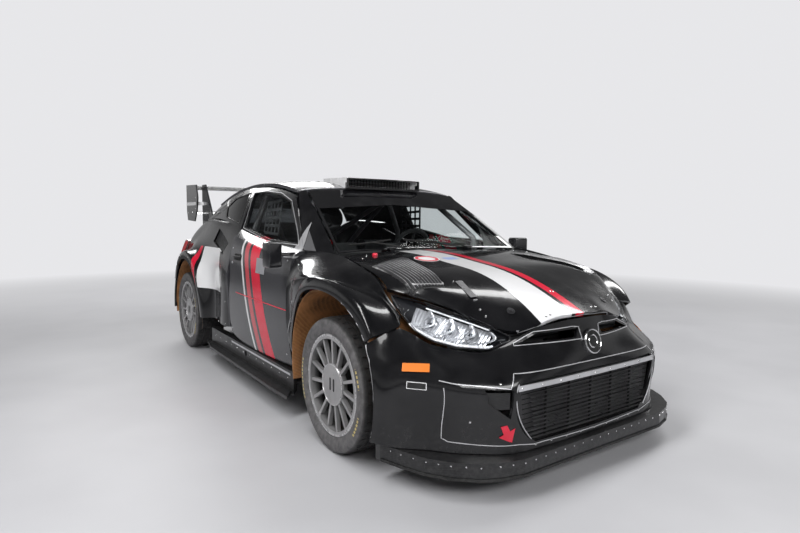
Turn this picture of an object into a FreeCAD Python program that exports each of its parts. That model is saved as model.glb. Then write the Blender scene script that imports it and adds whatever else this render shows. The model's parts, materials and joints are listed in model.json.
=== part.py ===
import FreeCAD, Part
import math
import os
import Sketcher
from FreeCAD import Placement, Rotation, Vector

# Rally car: a two-door competition hatchback on road wheels, in millimetres.
# +Z is up, the nose faces -Y, the car's left side is +X, and the origin is on the ground under the
# middle of the car. Every panel, wheel and tube is a sub-part of its own.

os.makedirs("parts", exist_ok=True)
doc = FreeCAD.newDocument("rally_car")
sheet = doc.addObject("Spreadsheet::Sheet", "sizes")

# alias, value, what it sets
SIZES = (
    ("overall_length", 4225, "splitter front to wing rear"),
    ("overall_width", 1875, "across the wheel arches"),
    ("wheelbase", 2630, "front axle to rear axle"),
    ("front_overhang", 842, "front axle to splitter front"),
    ("roof_height", 1396, "ground to roof crown"),
    ("tyre_radius", 322.5, "wheel centre to tread"),
    ("tyre_width", 235, "across the tread"),
    ("rim_radius", 228, "bead seat of the rim"),
    ("rim_lip", 242, "outer edge of the rim flange"),
    ("rim_wall", 9, "thickness of the rim barrel"),
    ("hub_radius", 101, "flat centre disc of the rim"),
    ("spoke_count", 15, "spokes in each rim"),
    ("spoke_width", 15, "width of one spoke"),
    ("wheel_tuck", 22, "tyre side inside the widest point of the body"),
    ("arch_gap", 117.5, "tread to the edge of the wheel arch"),
    ("liner_gap", 105.5, "tread to the wheel arch liner"),
    ("disc_radius", 178, "brake disc"),
    ("disc_thickness", 28, "brake disc"),
    ("panel_wall", 12, "body panel thickness"),
    ("door_wall", 44, "door thickness"),
    ("lid_wall", 18, "bonnet and tailgate thickness"),
    ("roof_wall", 24, "roof thickness"),
    ("pillar_wall", 36, "windscreen pillar thickness"),
    ("glass_wall", 5, "windows"),
    ("shut_gap", 7, "gap round a moving panel"),
    ("cage_tube", 20, "radius of a roll cage tube"),
    ("steering_wheel_radius", 165, "rim centre line"),
    ("floor_height", 150, "ground to the underside of the floor"),
    ("floor_wall", 16, "floor thickness"),
    ("splitter_height", 90, "ground to the splitter"),
    ("splitter_wall", 75, "height of the splitter's edge"),
)
size = {}
for row, (alias, value, meaning) in enumerate(SIZES, start=1):
    sheet.set("A%d" % row, alias)
    sheet.set("B%d" % row, str(value))
    sheet.set("C%d" % row, meaning)
    sheet.setAlias("B%d" % row, alias)
doc.recompute()
for alias, value, meaning in SIZES:
    size[alias] = float(sheet.get(alias))

# The body is drawn as distances behind the front axle, above the ground and off the centre line,
# for these sizes. The three functions below stretch it to the sizes in the sheet: round the wheels a
# distance from the axle stays as drawn, and what lies between the wheels stretches with the wheelbase.
DRAWN_WHEELBASE = 2630.0
DRAWN_HALF_WIDTH = 937.5
DRAWN_FRONT = 842.0
DRAWN_REAR = 753.0
DRAWN_ROOF = 1396.0
BELT_BASE = 900.0
WHEEL_ZONE = 500.0

FRONT_AXLE = -size["overall_length"] / 2 + size["front_overhang"]
REAR_AXLE = FRONT_AXLE + size["wheelbase"]
REAR_OVERHANG = size["overall_length"] / 2 - REAR_AXLE
AXLE_HEIGHT = size["tyre_radius"]
ARCH_RADIUS = size["tyre_radius"] + size["arch_gap"]
WIDTH_RATIO = size["overall_width"] / 2 / DRAWN_HALF_WIDTH


def along(station):
    """Y of a station given as a distance behind the front axle of the drawn body."""
    if station < -WHEEL_ZONE:
        ratio = (size["front_overhang"] - WHEEL_ZONE) / (DRAWN_FRONT - WHEEL_ZONE)
        return FRONT_AXLE - WHEEL_ZONE + (station + WHEEL_ZONE) * ratio
    if station <= WHEEL_ZONE:
        return FRONT_AXLE + station
    behind = station - DRAWN_WHEELBASE
    if behind < -WHEEL_ZONE:
        ratio = (size["wheelbase"] - 2 * WHEEL_ZONE) / (DRAWN_WHEELBASE - 2 * WHEEL_ZONE)
        return FRONT_AXLE + WHEEL_ZONE + (station - WHEEL_ZONE) * ratio
    if behind <= WHEEL_ZONE:
        return REAR_AXLE + behind
    ratio = (REAR_OVERHANG - WHEEL_ZONE) / (DRAWN_REAR - WHEEL_ZONE)
    return REAR_AXLE + WHEEL_ZONE + (behind - WHEEL_ZONE) * ratio


def across(offset):
    """X of a point drawn at this distance from the centre line."""
    return offset * WIDTH_RATIO


def above(level):
    """Z of a drawn level: only what is above the belt stretches with the roof."""
    if level < BELT_BASE:
        return level
    ratio = (size["roof_height"] - BELT_BASE) / (DRAWN_ROOF - BELT_BASE)
    return BELT_BASE + (level - BELT_BASE) * ratio


def place(offset, station, level):
    """The drawn point (off the centre line, behind the front axle, above the ground)."""
    return Vector(across(offset), along(station), above(level))


def mirrored(shape):
    """The same shape on the other side of the car."""
    return shape.mirror(Vector(0, 0, 0), Vector(1, 0, 0))


def spacing(lines):
    """Shared spline parameters for lines of points: the mean of their lengths up to each point."""
    count = len(lines[0])
    totals = [0.0] * count
    for line in lines:
        run = [0.0]
        for before, after in zip(line, line[1:]):
            run.append(run[-1] + (after - before).Length)
        for i in range(count):
            totals[i] += run[i] / run[-1]
    return [total / len(lines) for total in totals]


def spline(points, parameters):
    """A spline through points at the given parameters."""
    curve = Part.BSplineCurve()
    curve.interpolate(Points=points, Parameters=parameters)
    return curve


def spline_surface(points):
    """A smooth surface through a grid of points."""
    columns = [list(column) for column in zip(*points)]
    along_row = spacing(points)
    down_column = spacing(columns)
    row_curves = [spline(row, along_row) for row in points]
    pole_columns = zip(*[curve.getPoles() for curve in row_curves])
    column_curves = [spline(list(column), down_column) for column in pole_columns]
    poles = [list(row) for row in zip(*[curve.getPoles() for curve in column_curves])]
    row_curve = row_curves[0]
    column_curve = column_curves[0]
    surface = Part.BSplineSurface()
    surface.buildFromPolesMultsKnots(
        poles,
        column_curve.getMultiplicities(), row_curve.getMultiplicities(),
        column_curve.getKnots(), row_curve.getKnots(),
        False, False, column_curve.Degree, row_curve.Degree,
    )
    return surface


def skin(points, wall):
    """A curved panel: a spline face through a grid of points, and a second one a wall inside it.

    Rows and columns run so that the face's normal points out of the car.
    """
    rows = len(points)
    columns = len(points[0])
    inner = []
    for i in range(rows):
        line = []
        for j in range(columns):
            down = points[min(i + 1, rows - 1)][j] - points[max(i - 1, 0)][j]
            side = points[i][min(j + 1, columns - 1)] - points[i][max(j - 1, 0)]
            normal = down.cross(side)
            normal.normalize()
            line.append(points[i][j] - normal * wall)
        inner.append(line)
    outside = spline_surface(points)
    inside = spline_surface(inner)
    faces = [outside.toShape(), inside.toShape()]
    u0, u1, v0, v1 = outside.bounds()
    a0, a1, b0, b1 = inside.bounds()
    edges = (
        (outside.uIso(u0), inside.uIso(a0)),
        (outside.uIso(u1), inside.uIso(a1)),
        (outside.vIso(v0), inside.vIso(b0)),
        (outside.vIso(v1), inside.vIso(b1)),
    )
    for outer_edge, inner_edge in edges:
        faces.append(Part.makeRuledSurface(outer_edge.toShape(), inner_edge.toShape()))
    shell = Part.makeShell(faces)
    shell.sewShape()
    solid = Part.makeSolid(shell)
    if solid.Volume < 0:
        solid.reverse()
    return solid


def grid(table):
    """A table of drawn (offset, station, level) rows as a grid of points."""
    return [[place(*point) for point in row] for row in table]


def side_prism(outline, low, high):
    """A prism across the car between two offsets, from (station, level) corners."""
    points = [Vector(low, along(s), above(z)) for s, z in outline]
    face = Part.Face(Part.makePolygon(points + points[:1]))
    return face.extrude(Vector(high - low, 0, 0))


def plan_prism(outline, low, high):
    """An upright prism between two heights, from drawn (offset, station) corners."""
    points = [Vector(across(x), along(s), low) for x, s in outline]
    face = Part.Face(Part.makePolygon(points + points[:1]))
    return face.extrude(Vector(0, 0, high - low))


def front_prism(outline, low, high):
    """A prism along the car between two stations, from drawn (offset, level) corners."""
    points = [Vector(across(x), along(low), above(z)) for x, z in outline]
    face = Part.Face(Part.makePolygon(points + points[:1]))
    return face.extrude(Vector(0, along(high) - along(low), 0))


def tube(start, end, radius):
    """A straight round bar between two points."""
    return Part.makeCylinder(radius, (end - start).Length, start, end - start)


def fused(shapes):
    """One solid from shapes that overlap."""
    whole = shapes[0].multiFuse(shapes[1:]) if len(shapes) > 1 else shapes[0]
    return whole.removeSplitter()


def both(shape):
    """A shape and its mirror image as two separate solids."""
    return [shape, mirrored(shape)]


def largest(shape):
    """The biggest solid of a shape that a cut left in several pieces."""
    return max(shape.Solids, key=lambda solid: solid.Volume)


def cleared(shape, other, directions, gap):
    """The shape less another one and its copies moved by the gap, so that it stands clear of it."""
    left = shape.cut(other)
    for x, y, z in directions:
        moved = other.copy()
        moved.translate(Vector(x, y, z) * gap)
        left = left.cut(moved)
    return left


nodes = {}


def keep(name, solids):
    """Store one sub-part whose shape was worked out above."""
    shape = Part.makeCompound([solids] if isinstance(solids, Part.Shape) else solids)
    node = doc.addObject("Part::Feature", name)
    node.Label = name
    node.Shape = shape
    node.Placement = Placement(Vector(0, 0, 0), Rotation())
    nodes[name] = node
    return node


# ---------------------------------------------------------------- fixed body panels

def arch_point(axle_station, degrees, reach, offset):
    """A drawn point round a wheel: degrees from straight ahead, up and over; reach past the arch."""
    turn = math.radians(degrees)
    radius = ARCH_RADIUS + reach
    height = AXLE_HEIGHT + radius * math.sin(turn)
    y = along(axle_station) - radius * math.cos(turn)
    return Vector(across(offset), y, height)


# The door's outline from the side, as (station, level), and the opening round it.
DOOR_OUTLINE = (
    (584, 258), (586, 926), (690, 1006), (812, 1124), (944, 1262), (1200, 1306), (1440, 1328),
    (1662, 1330), (1644, 1190), (1620, 1030), (1618, 300), (1500, 258),
)
REAR_SHUT_EXTRA = 4
outline_points = [Vector(600, along(s), above(z)) for s, z in DOOR_OUTLINE]
door_face = Part.Face(Part.makePolygon(outline_points + outline_points[:1]))
door_space = door_face.extrude(Vector(400, 0, 0))
opening_face = door_face.makeOffset2D(size["shut_gap"], 2)
opening_back = opening_face.copy()
opening_back.translate(Vector(0, REAR_SHUT_EXTRA, 0))
door_opening = opening_face.extrude(Vector(400, 0, 0)).fuse(opening_back.extrude(Vector(400, 0, 0)))

# Hinges: a pin in two knuckles on the fixed side, and a bored barrel on the moving side.
HINGE_PIN = 5.0
HINGE_BARREL = 10.0
HINGE_PLAY = 0.1
DOOR_HINGE = (846, 530)
DOOR_HINGE_LEVELS = (500, 690)
DOOR_HINGE_PLATE = ((838, 506), (866, 506), (866, 521), (852, 533.5), (838, 533.5))
BONNET_HINGE = (395, 938)
TAILGATE_HINGE = (2642, 1292)


def hinge_on_line(centre, line, outer, inner):
    """The pin with its two knuckles, and the barrel between them, on a line through a point."""
    pin = tube(centre - line * outer, centre + line * outer, HINGE_PIN)
    knuckles = [
        tube(centre + line * inner, centre + line * outer, HINGE_BARREL),
        tube(centre - line * outer, centre - line * inner, HINGE_BARREL),
    ]
    barrel = tube(centre - line * (inner - 1), centre + line * (inner - 1), HINGE_BARREL)
    bore = tube(centre - line * outer, centre + line * outer, HINGE_PIN + HINGE_PLAY)
    return [pin] + knuckles, barrel, bore


# Front wing, front edge to back edge: angle round the wheel, reach past the round arch, arch offset,
# then the drawn (offset, station, level) of the crest of the flare and of the panel's inner edge.
FRONT_WING = (
    (38, 0, 926, (778, -378, 650), (754, -362, 692)),
    (55, 6, 929, (776, -272, 738), (754, -236, 784)),
    (75, 0, 930, (806, -130, 786), (724, -104, 838)),
    (95, 8, 930, (862, 30, 818), (718, 40, 876)),
    (115, 40, 926, (890, 200, 828), (706, 220, 910)),
    (132, 54, 918, (888, 390, 815), (744, 450, 928)),
    (150, 38, 908, (880, 495, 742), (826, 577, 880)),
    (172, 15, 894, (872, 515, 400), (862, 577, 405)),
)


def between(a, b, share, lift):
    """A drawn point part of the way from a to b, lifted by some millimetres."""
    mixed = [p + (q - p) * share for p, q in zip(a, b)]
    return place(mixed[0], mixed[1], mixed[2] + lift)


wing_rows = [
    [place(*edge) for angle, reach, arch, crest, edge in FRONT_WING],
    [between(edge, crest, 0.5, 6) for angle, reach, arch, crest, edge in FRONT_WING],
    [place(*crest) for angle, reach, arch, crest, edge in FRONT_WING],
    [arch_point(0, angle, reach + 52, arch - 14) for angle, reach, arch, crest, edge in FRONT_WING],
    [arch_point(0, angle, reach + 22, arch - 1) for angle, reach, arch, crest, edge in FRONT_WING],
    [arch_point(0, angle, reach, arch) for angle, reach, arch, crest, edge in FRONT_WING],
]
front_wing = largest(skin(wing_rows, size["panel_wall"]).cut(door_opening))
wing_parts = [front_wing]
door_hinge_parts = []
door_hinge_bores = []
UP = Vector(0, 0, 1)
for level in DOOR_HINGE_LEVELS:
    centre = place(DOOR_HINGE[0], DOOR_HINGE[1], level)
    fixed, barrel, bore = hinge_on_line(centre, UP, 38, 20)
    wing_parts += fixed
    for low, high in ((level + 20, level + 38), (level - 38, level - 20)):
        wing_parts.append(plan_prism(DOOR_HINGE_PLATE, low, high))
    door_hinge_parts.append(barrel)
    for leaf in (
        ((792, 522), (846, 522), (846, 538), (792, 538)),
        ((792, 522), (806, 522), (806, 604), (792, 604)),
        ((792, 592), (830, 592), (830, 606), (792, 606)),
    ):
        door_hinge_parts.append(plan_prism(leaf, level - 18, level + 18))
    door_hinge_bores.append(bore)
keep("front_wings", both(fused(wing_parts)))

# Rear wing panel: the same columns, with one more row between the crown and the outer edge.
REAR_WING = (
    (0, 922, (880, 2080, 330), (868, 1860, 330), (862, 1628, 330)),
    (22, 930, (885, 2110, 540), (866, 1860, 560), (867, 1628, 580)),
    (45, 934, (888, 2230, 700), (852, 1900, 780), (858, 1628, 800)),
    (65, 934, (888, 2400, 800), (808, 2040, 930), (768, 1628, 1032)),
    (85, 934, (884, 2575, 838), (790, 2330, 990), (742, 2080, 1086)),
    (105, 932, (880, 2765, 826), (775, 2660, 985), (712, 2560, 1100)),
    (125, 926, (874, 2930, 745), (800, 2945, 870), (722, 2962, 985)),
    (150, 915, (868, 3050, 570), (820, 3075, 610), (782, 3092, 650)),
)
rear_rows = [
    [place(*edge) for angle, arch, crown, middle, edge in REAR_WING],
    [place(*middle) for angle, arch, crown, middle, edge in REAR_WING],
    [place(*crown) for angle, arch, crown, middle, edge in REAR_WING],
    [arch_point(DRAWN_WHEELBASE, angle, 62, arch - 10) for angle, arch, crown, middle, edge in REAR_WING],
    [arch_point(DRAWN_WHEELBASE, angle, 30, arch) for angle, arch, crown, middle, edge in REAR_WING],
    [arch_point(DRAWN_WHEELBASE, angle, 0, arch) for angle, arch, crown, middle, edge in REAR_WING],
]
rear_wing = skin(rear_rows, size["panel_wall"]).cut(door_opening)

# Rear pillar above it, round the fixed quarter window.
PILLAR = (
    ((628, 1682, 1334), (628, 2050, 1310), (620, 2350, 1268), (602, 2636, 1218)),
    ((700, 1660, 1190), (692, 2060, 1200), (672, 2375, 1190), (652, 2660, 1160)),
    ((768, 1634, 1040), (742, 2084, 1094), (712, 2400, 1108), (700, 2690, 1092)),
)
pillar = skin(grid(PILLAR), size["panel_wall"])
QUARTER_LIGHT = ((1712, 1078), (2070, 1122), (2180, 1200), (2060, 1262), (1745, 1296))
pillar = pillar.cut(side_prism(QUARTER_LIGHT, 500, 900)).cut(door_opening)
INTAKE = ((1838, 836), (1772, 924), (2110, 1030), (2176, 926))
intake_hole = side_prism(INTAKE, 600, 900)
intake_mesh = skin([[p - Vector(16, 0, 0) for p in row] for row in rear_rows], 6)
intake_mesh = largest(intake_mesh.common(side_prism(INTAKE, 600, 900)))
rear_wing = rear_wing.cut(intake_hole)

glass_rows = [[point - Vector(4, 0, 0) for point in row] for row in grid(PILLAR)]
quarter = skin(glass_rows, size["glass_wall"]).common(side_prism(QUARTER_LIGHT, 500, 900))
keep("quarter_windows", both(quarter))
keep("intake_meshes", both(intake_mesh))

# Nose, from the middle out: for each offset the (station, level) of the top edge, the shelf under the
# lamp, the crease, the grille's middle and the bottom edge.
NOSE = (
    (0, (-752, 676), (-776, 585), (-796, 486), (-803, 330), (-810, 170)),
    (200, (-730, 664), (-756, 576), (-796, 486), (-801, 330), (-806, 170)),
    (330, (-692, 630), (-736, 560), (-794, 480), (-797, 330), (-800, 170)),
    (430, (-676, 590), (-724, 536), (-790, 464), (-792, 330), (-794, 170)),
    (510, (-636, 558), (-700, 512), (-776, 448), (-777, 330), (-776, 170)),
    (600, (-552, 562), (-640, 516), (-724, 448), (-724, 330), (-718, 170)),
    (690, (-468, 588), (-566, 524), (-662, 456), (-656, 330), (-644, 170)),
    (730, (-444, 616), (-523, 534), (-617, 461), (-611, 330), (-598, 170)),
    (770, (-387, 644), (-480, 540), (-572, 466), (-567, 330), (-552, 170)),
    (850, (-380, 627), (-432, 540), (-486, 456), (-484, 330), (-476, 170)),
    (902, (-361, 600), (-416, 504), (-449, 408), (-444, 288), (-424, 178)),
)
NOSE_ARCH = ((37, 0), (22, -8), (8, -18), (-8, -24), (-20, -26))
half_nose = [[place(offset, s, z) for s, z in rows] for offset, *rows in NOSE]
half_nose.append([arch_point(0, angle, reach, 926) for angle, reach in NOSE_ARCH])
right_nose = [[Vector(-p.x, p.y, p.z) for p in column] for column in reversed(half_nose[1:])]
nose_columns = right_nose + half_nose
nose_rows = [[column[level] for column in nose_columns] for level in range(len(NOSE_ARCH))]
nose = skin(nose_rows, size["panel_wall"])
GRILLE = ((-470, 430), (-452, 458), (452, 458), (470, 430), (440, 260), (370, 196), (-370, 196), (-440, 260))
CHEEK = ((498, 430), (600, 436), (590, 380), (500, 310))
SLOT_LEFT = ((70, 634), (286, 624), (396, 584), (300, 590), (90, 596))
nose = nose.cut(front_prism(GRILLE, -900, -600))
for opening in (CHEEK, SLOT_LEFT):
    cutter = front_prism(opening, -900, -600)
    nose = nose.cut(cutter).cut(mirrored(cutter))
WING_WAYS = ((0, -0.35, -0.35), (0, -0.7, -0.7), (-0.3, -0.25, -0.3), (-0.6, -0.5, -0.6))
nose = cleared(nose, front_wing, WING_WAYS, 6)
nose = largest(mirrored(cleared(mirrored(nose), front_wing, WING_WAYS, 6)))
keep("front_bumper", nose)

# Headlights fill the gap between bumper, bonnet and wing.
LAMP = (
    ((404, -680, 616), (440, -622, 643), (500, -555, 676),
     (575, -478, 712), (650, -363, 746), (730, -236, 772)),
    ((410, -684, 610), (470, -646, 606), (560, -566, 626),
     (640, -500, 652), (704, -410, 690), (736, -268, 752)),
    ((412, -684, 602), (498, -642, 566), (600, -556, 568),
     (672, -490, 592), (726, -434, 634), (742, -308, 728)),
)
lamp = skin(grid(LAMP), 16)
keep("headlights", both(lamp))

MESHES = (
    # front outline of one mesh plate, and the stations of its two faces
    (((-476, 462), (476, 462), (446, 190), (-446, 190)), -770, -754),
    (((490, 440), (604, 440), (604, 300), (490, 300)), -672, -660),
    (((-490, 440), (-604, 440), (-604, 300), (-490, 300)), -672, -660),
    (((60, 624), (382, 624), (382, 574), (60, 574)), -640, -628),
    (((-60, 624), (-382, 624), (-382, 574), (-60, 574)), -640, -628),
)
grille = [largest(front_prism(outline, front, back).cut(nose)) for outline, front, back in MESHES]
keep("radiator_grille", grille)

# Cowl under the screen and the two windscreen pillars.
PILLAR_STRIP = (
    ((586, 936, 1292), (610, 934, 1284), (634, 934, 1262)),
    ((620, 740, 1174), (652, 760, 1152), (686, 800, 1120)),
    ((655, 540, 1050), (694, 580, 1030), (732, 672, 1000)),
    ((690, 352, 922), (730, 440, 928), (768, 580, 932)),
)
strip_rows = [list(reversed(row)) for row in reversed(grid(PILLAR_STRIP))]
pillar_strip = skin(strip_rows, size["pillar_wall"])
COWL = (
    ((676, 322, 905), (400, 420, 913), (0, 452, 917), (-400, 420, 913), (-676, 322, 905)),
    ((676, 372, 900), (400, 476, 908), (0, 510, 912), (-400, 476, 908), (-676, 372, 900)),
)
cowl = skin(grid(COWL), 30)
pillar_strip = largest(pillar_strip.cut(door_opening).cut(front_wing))
ACROSS = Vector(1, 0, 0)
BONNET_HINGE_OFFSETS = (300, -300)
cowl_parts = [cowl]
bonnet_hinge_parts = []
bonnet_hinge_bores = []
for offset in BONNET_HINGE_OFFSETS:
    centre = place(offset, BONNET_HINGE[0], BONNET_HINGE[1])
    fixed, barrel, bore = hinge_on_line(centre, ACROSS, 30, 14)
    cowl_parts += fixed
    for low, high in ((14, 30), (-30, -14)):
        leaf = ((391, 932), (391, 944), (448, 924), (448, 905), (440, 905))
        cowl_parts.append(side_prism(leaf, centre.x + low, centre.x + high))
    bonnet_hinge_parts.append(barrel)
    leaf = ((399, 944), (399, 932), (380, 908), (362, 908), (370, 930))
    bonnet_hinge_parts.append(side_prism(leaf, centre.x - 13, centre.x + 13))
    bonnet_hinge_bores.append(bore)
keep("windscreen_frame", both(pillar_strip) + [fused(cowl_parts)])

SCREEN = (
    ((668, 352, 924), (400, 448, 930), (0, 480, 934), (-400, 448, 930), (-668, 352, 924)),
    ((622, 640, 1110), (380, 690, 1124), (0, 712, 1132), (-380, 690, 1124), (-622, 640, 1110)),
    ((572, 918, 1284), (350, 934, 1300), (0, 940, 1308), (-350, 934, 1300), (-572, 918, 1284)),
)
windscreen = skin(grid(SCREEN), size["glass_wall"])
keep("windscreen", windscreen)

ROOF = (
    ((626, 946, 1280), (500, 946, 1298), (260, 950, 1311), (0, 952, 1316)),
    ((626, 1200, 1334), (500, 1200, 1352), (260, 1200, 1365), (0, 1200, 1370)),
    ((626, 1420, 1353), (500, 1420, 1371), (260, 1420, 1384), (0, 1420, 1389)),
    ((626, 1650, 1359), (500, 1650, 1377), (260, 1650, 1390), (0, 1650, 1395)),
    ((626, 1910, 1345), (500, 1910, 1363), (260, 1910, 1376), (0, 1910, 1381)),
    ((626, 2170, 1314), (500, 2170, 1332), (260, 2170, 1345), (0, 2170, 1350)),
    ((616, 2410, 1276), (494, 2410, 1294), (256, 2410, 1307), (0, 2410, 1312)),
    ((606, 2632, 1232), (486, 2636, 1250), (250, 2642, 1263), (0, 2644, 1268)),
)


def full_width(table):
    """Rows drawn from the car's left side to the middle, carried on to its right side."""
    return [list(row) + [(-x, s, z) for x, s, z in reversed(row[:-1])] for row in table]


roof = skin(grid(full_width(ROOF)), size["roof_wall"])
roof = roof.cut(door_opening).cut(mirrored(door_opening))
roof = roof.cut(pillar_strip).cut(mirrored(pillar_strip))
rear_wing = largest(fused([rear_wing, pillar]).cut(roof))
keep("rear_wings", both(rear_wing))
roof_parts = [largest(roof)]
tailgate_hinge_parts = []
tailgate_hinge_bores = []
for offset in (380, -380):
    centre = place(offset, TAILGATE_HINGE[0], TAILGATE_HINGE[1])
    fixed, barrel, bore = hinge_on_line(centre, ACROSS, 30, 14)
    roof_parts += fixed
    for low, high in ((14, 30), (-30, -14)):
        leaf = ((2646, 1298), (2646, 1286), (2626, 1248), (2590, 1258), (2630, 1296))
        roof_parts.append(side_prism(leaf, centre.x + low, centre.x + high))
    tailgate_hinge_parts.append(barrel)
    leaf = ((2638, 1298), (2638, 1286), (2656, 1250), (2682, 1218), (2696, 1226), (2660, 1290))
    tailgate_hinge_parts.append(side_prism(leaf, centre.x - 13, centre.x + 13))
    tailgate_hinge_bores.append(bore)
roof = fused(roof_parts)
keep("roof", roof)

# Roof scoop: a low box over the front edge of the roof that tapers back, open at its mouth.
SCOOP = (
    # half width, station, low and high level, outside and then inside
    ((296, 918, 1312, 1384), (250, 1350, 1340, 1401)),
    ((286, 900, 1320, 1377), (236, 1290, 1372, 1390)),
)


def tapered_box(front, back):
    """A straight-sided solid between two upright rectangles."""
    wires = []
    for half, station, low, high in (front, back):
        corners = [place(x, station, z) for x, z in ((half, low), (half, high), (-half, high), (-half, low))]
        wires.append(Part.makePolygon(corners + corners[:1]))
    return Part.makeLoft(wires, True, True)


scoop_outside, scoop_inside = [tapered_box(front, back) for front, back in SCOOP]
under_roof = skin([[p - Vector(0, 0, 10) for p in row] for row in grid(full_width(ROOF))], 60)
roof_scoop = largest(scoop_outside.cut(scoop_inside).cut(roof).cut(under_roof).cut(windscreen))
keep("roof_scoop", roof_scoop)

# Rear bumper, from one rear wheel arch round to the other.
TAIL = (
    (890, 3080, 3098, 640),
    (820, 3198, 3178, 642),
    (700, 3276, 3236, 645),
    (400, 3340, 3288, 650),
    (200, 3353, 3300, 650),
    (0, 3358, 3305, 650),
)
TAIL_BOTTOM = 300.0
half_tail = [[arch_point(DRAWN_WHEELBASE, angle, 4, 918) for angle in (150, 162, 174, 184)]]
for offset, low, high, top in TAIL:
    column = []
    for part_way in (1.0, 0.67, 0.33, 0.0):
        level = TAIL_BOTTOM + (top - TAIL_BOTTOM) * part_way
        column.append(place(offset, low + (high - low) * part_way, level))
    half_tail.append(column)
left_tail = [[Vector(-p.x, p.y, p.z) for p in column] for column in reversed(half_tail[:-1])]
tail_columns = half_tail + left_tail
tail_rows = [[column[level] for column in tail_columns] for level in range(4)]
SHELF = (
    (0, 3236), (400, 3218), (690, 3150), (790, 3092), (852, 3064),
    (876, 3086), (820, 3190), (700, 3268), (400, 3333), (0, 3351),
)
half_shelf = plan_prism(SHELF, 632, 640)
tail = fused([skin(tail_rows, size["panel_wall"]), half_shelf, mirrored(half_shelf)])
rear_bumper = largest(tail.cut(rear_wing).cut(mirrored(rear_wing)))
keep("rear_bumper", rear_bumper)

LIGHT = (
    ((716, 3118, 900), (760, 3098, 898), (792, 3020, 890)),
    ((728, 3150, 800), (778, 3128, 800), (826, 3050, 790)),
    ((736, 3174, 664), (788, 3148, 662), (838, 3086, 658)),
)
light = largest(skin([list(reversed(row)) for row in grid(LIGHT)], -28).cut(rear_bumper).cut(rear_wing))
keep("tail_lights", both(light))

# ---------------------------------------------------------------- doors, bonnet and tailgate
DOOR_SKIN = (
    ((768, 584, 930), (766, 850, 944), (765, 1120, 962), (765, 1380, 992), (766, 1622, 1030)),
    ((820, 584, 900), (822, 850, 908), (822, 1120, 918), (822, 1380, 935), (820, 1622, 955)),
    ((856, 584, 760), (862, 850, 760), (862, 1120, 762), (862, 1380, 770), (858, 1622, 780)),
    ((864, 584, 560), (870, 850, 560), (872, 1120, 560), (870, 1380, 560), (866, 1622, 570)),
    ((856, 584, 400), (862, 850, 390), (864, 1120, 380), (864, 1380, 380), (862, 1622, 400)),
    ((836, 584, 270), (846, 850, 262), (850, 1120, 258), (850, 1380, 260), (850, 1622, 300)),
)
door_skin = skin(grid(DOOR_SKIN), size["door_wall"])
# Way cleared round the hinges for the wing's rear edge: (level, radius).
DOOR_EDGE_WAY = (
    (370, 50), (405, 55.7), (460, 59.1), (500, 61.2), (580, 63.4), (660, 62.3), (740, 59.1), (780, 56.1),
    (820, 53), (860, 50),
)
way_points = [
    place(DOOR_HINGE[0], DOOR_HINGE[1], level) + Vector(radius, 0, 0) for level, radius in DOOR_EDGE_WAY
]
way_points += [place(DOOR_HINGE[0], DOOR_HINGE[1], DOOR_EDGE_WAY[end][0]) for end in (-1, 0)]
way_face = Part.Face(Part.makePolygon(way_points + way_points[:1]))
door_skin = door_skin.cut(way_face.revolve(place(*DOOR_HINGE, 0), UP, 360))
DOOR_FRAME = (
    ((640, 944, 1254), (640, 1200, 1302), (638, 1440, 1324), (638, 1664, 1328)),
    ((688, 800, 1130), (692, 1120, 1160), (696, 1400, 1176), (700, 1648, 1190)),
    ((766, 588, 934), (765, 960, 950), (765, 1300, 980), (766, 1624, 1030)),
    ((790, 588, 905), (792, 960, 915), (792, 1300, 940), (790, 1624, 985)),
)
door_frame = skin(grid(DOOR_FRAME), 22)
SIDE_LIGHT = ((690, 960), (1150, 978), (1592, 1046), (1640, 1290), (1400, 1288), (1160, 1262), (985, 1216))
door_frame = door_frame.cut(side_prism(SIDE_LIGHT, 500, 900))
pane_rows = [[point - Vector(10, 0, 0) for point in row] for row in grid(DOOR_FRAME)]
pane = skin(pane_rows, size["glass_wall"]).common(side_prism(SIDE_LIGHT, 500, 900))
door = fused([door_skin, door_frame]).common(door_space)
door = fused([largest(door)] + door_hinge_parts)
for bore in door_hinge_bores:
    door = door.cut(bore)
door = largest(door)
pane = largest(pane.common(door_space).cut(door))
for name, side in (("left", door), ("right", mirrored(door))):
    keep(name + "_door", side)
for name, side in (("left", pane), ("right", mirrored(pane))):
    keep(name + "_door_window", side)

BONNET = (
    ((726, -214, 794), (650, -350, 762), (548, -494, 714),
     (396, -652, 638), (200, -712, 680), (0, -738, 694)),
    ((706, -120, 834), (648, -290, 818), (548, -352, 822),
     (384, -392, 822), (200, -404, 826), (0, -410, 828)),
    ((700, 20, 870), (648, -40, 870), (545, -64, 876), (390, -74, 880), (200, -80, 884), (0, -84, 886)),
    ((688, 160, 896), (640, 146, 898), (540, 132, 902), (390, 124, 905), (200, 120, 909), (0, 118, 911)),
    ((672, 296, 912), (628, 312, 913), (530, 342, 916), (390, 374, 919), (200, 392, 923), (0, 400, 925)),
)
bonnet_grid = grid(full_width(BONNET))
bonnet = skin(bonnet_grid, size["lid_wall"])
VENT = ((664, 14), (404, 134), (536, -400), (672, -330))
vent_hole = plan_prism(VENT, 700, 1000)
vent = skin(bonnet_grid, 12).common(vent_hole)
bonnet = bonnet.cut(vent_hole).cut(mirrored(vent_hole))
LID_GAP = 9
CLEAR_WAYS = ((0, 0, 1), (-0.7, 0.5, 0.5), (0, 0.8, 0.6))
bonnet = cleared(bonnet, lamp, CLEAR_WAYS, LID_GAP)
bonnet = mirrored(cleared(mirrored(bonnet), lamp, CLEAR_WAYS, LID_GAP))
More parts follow.
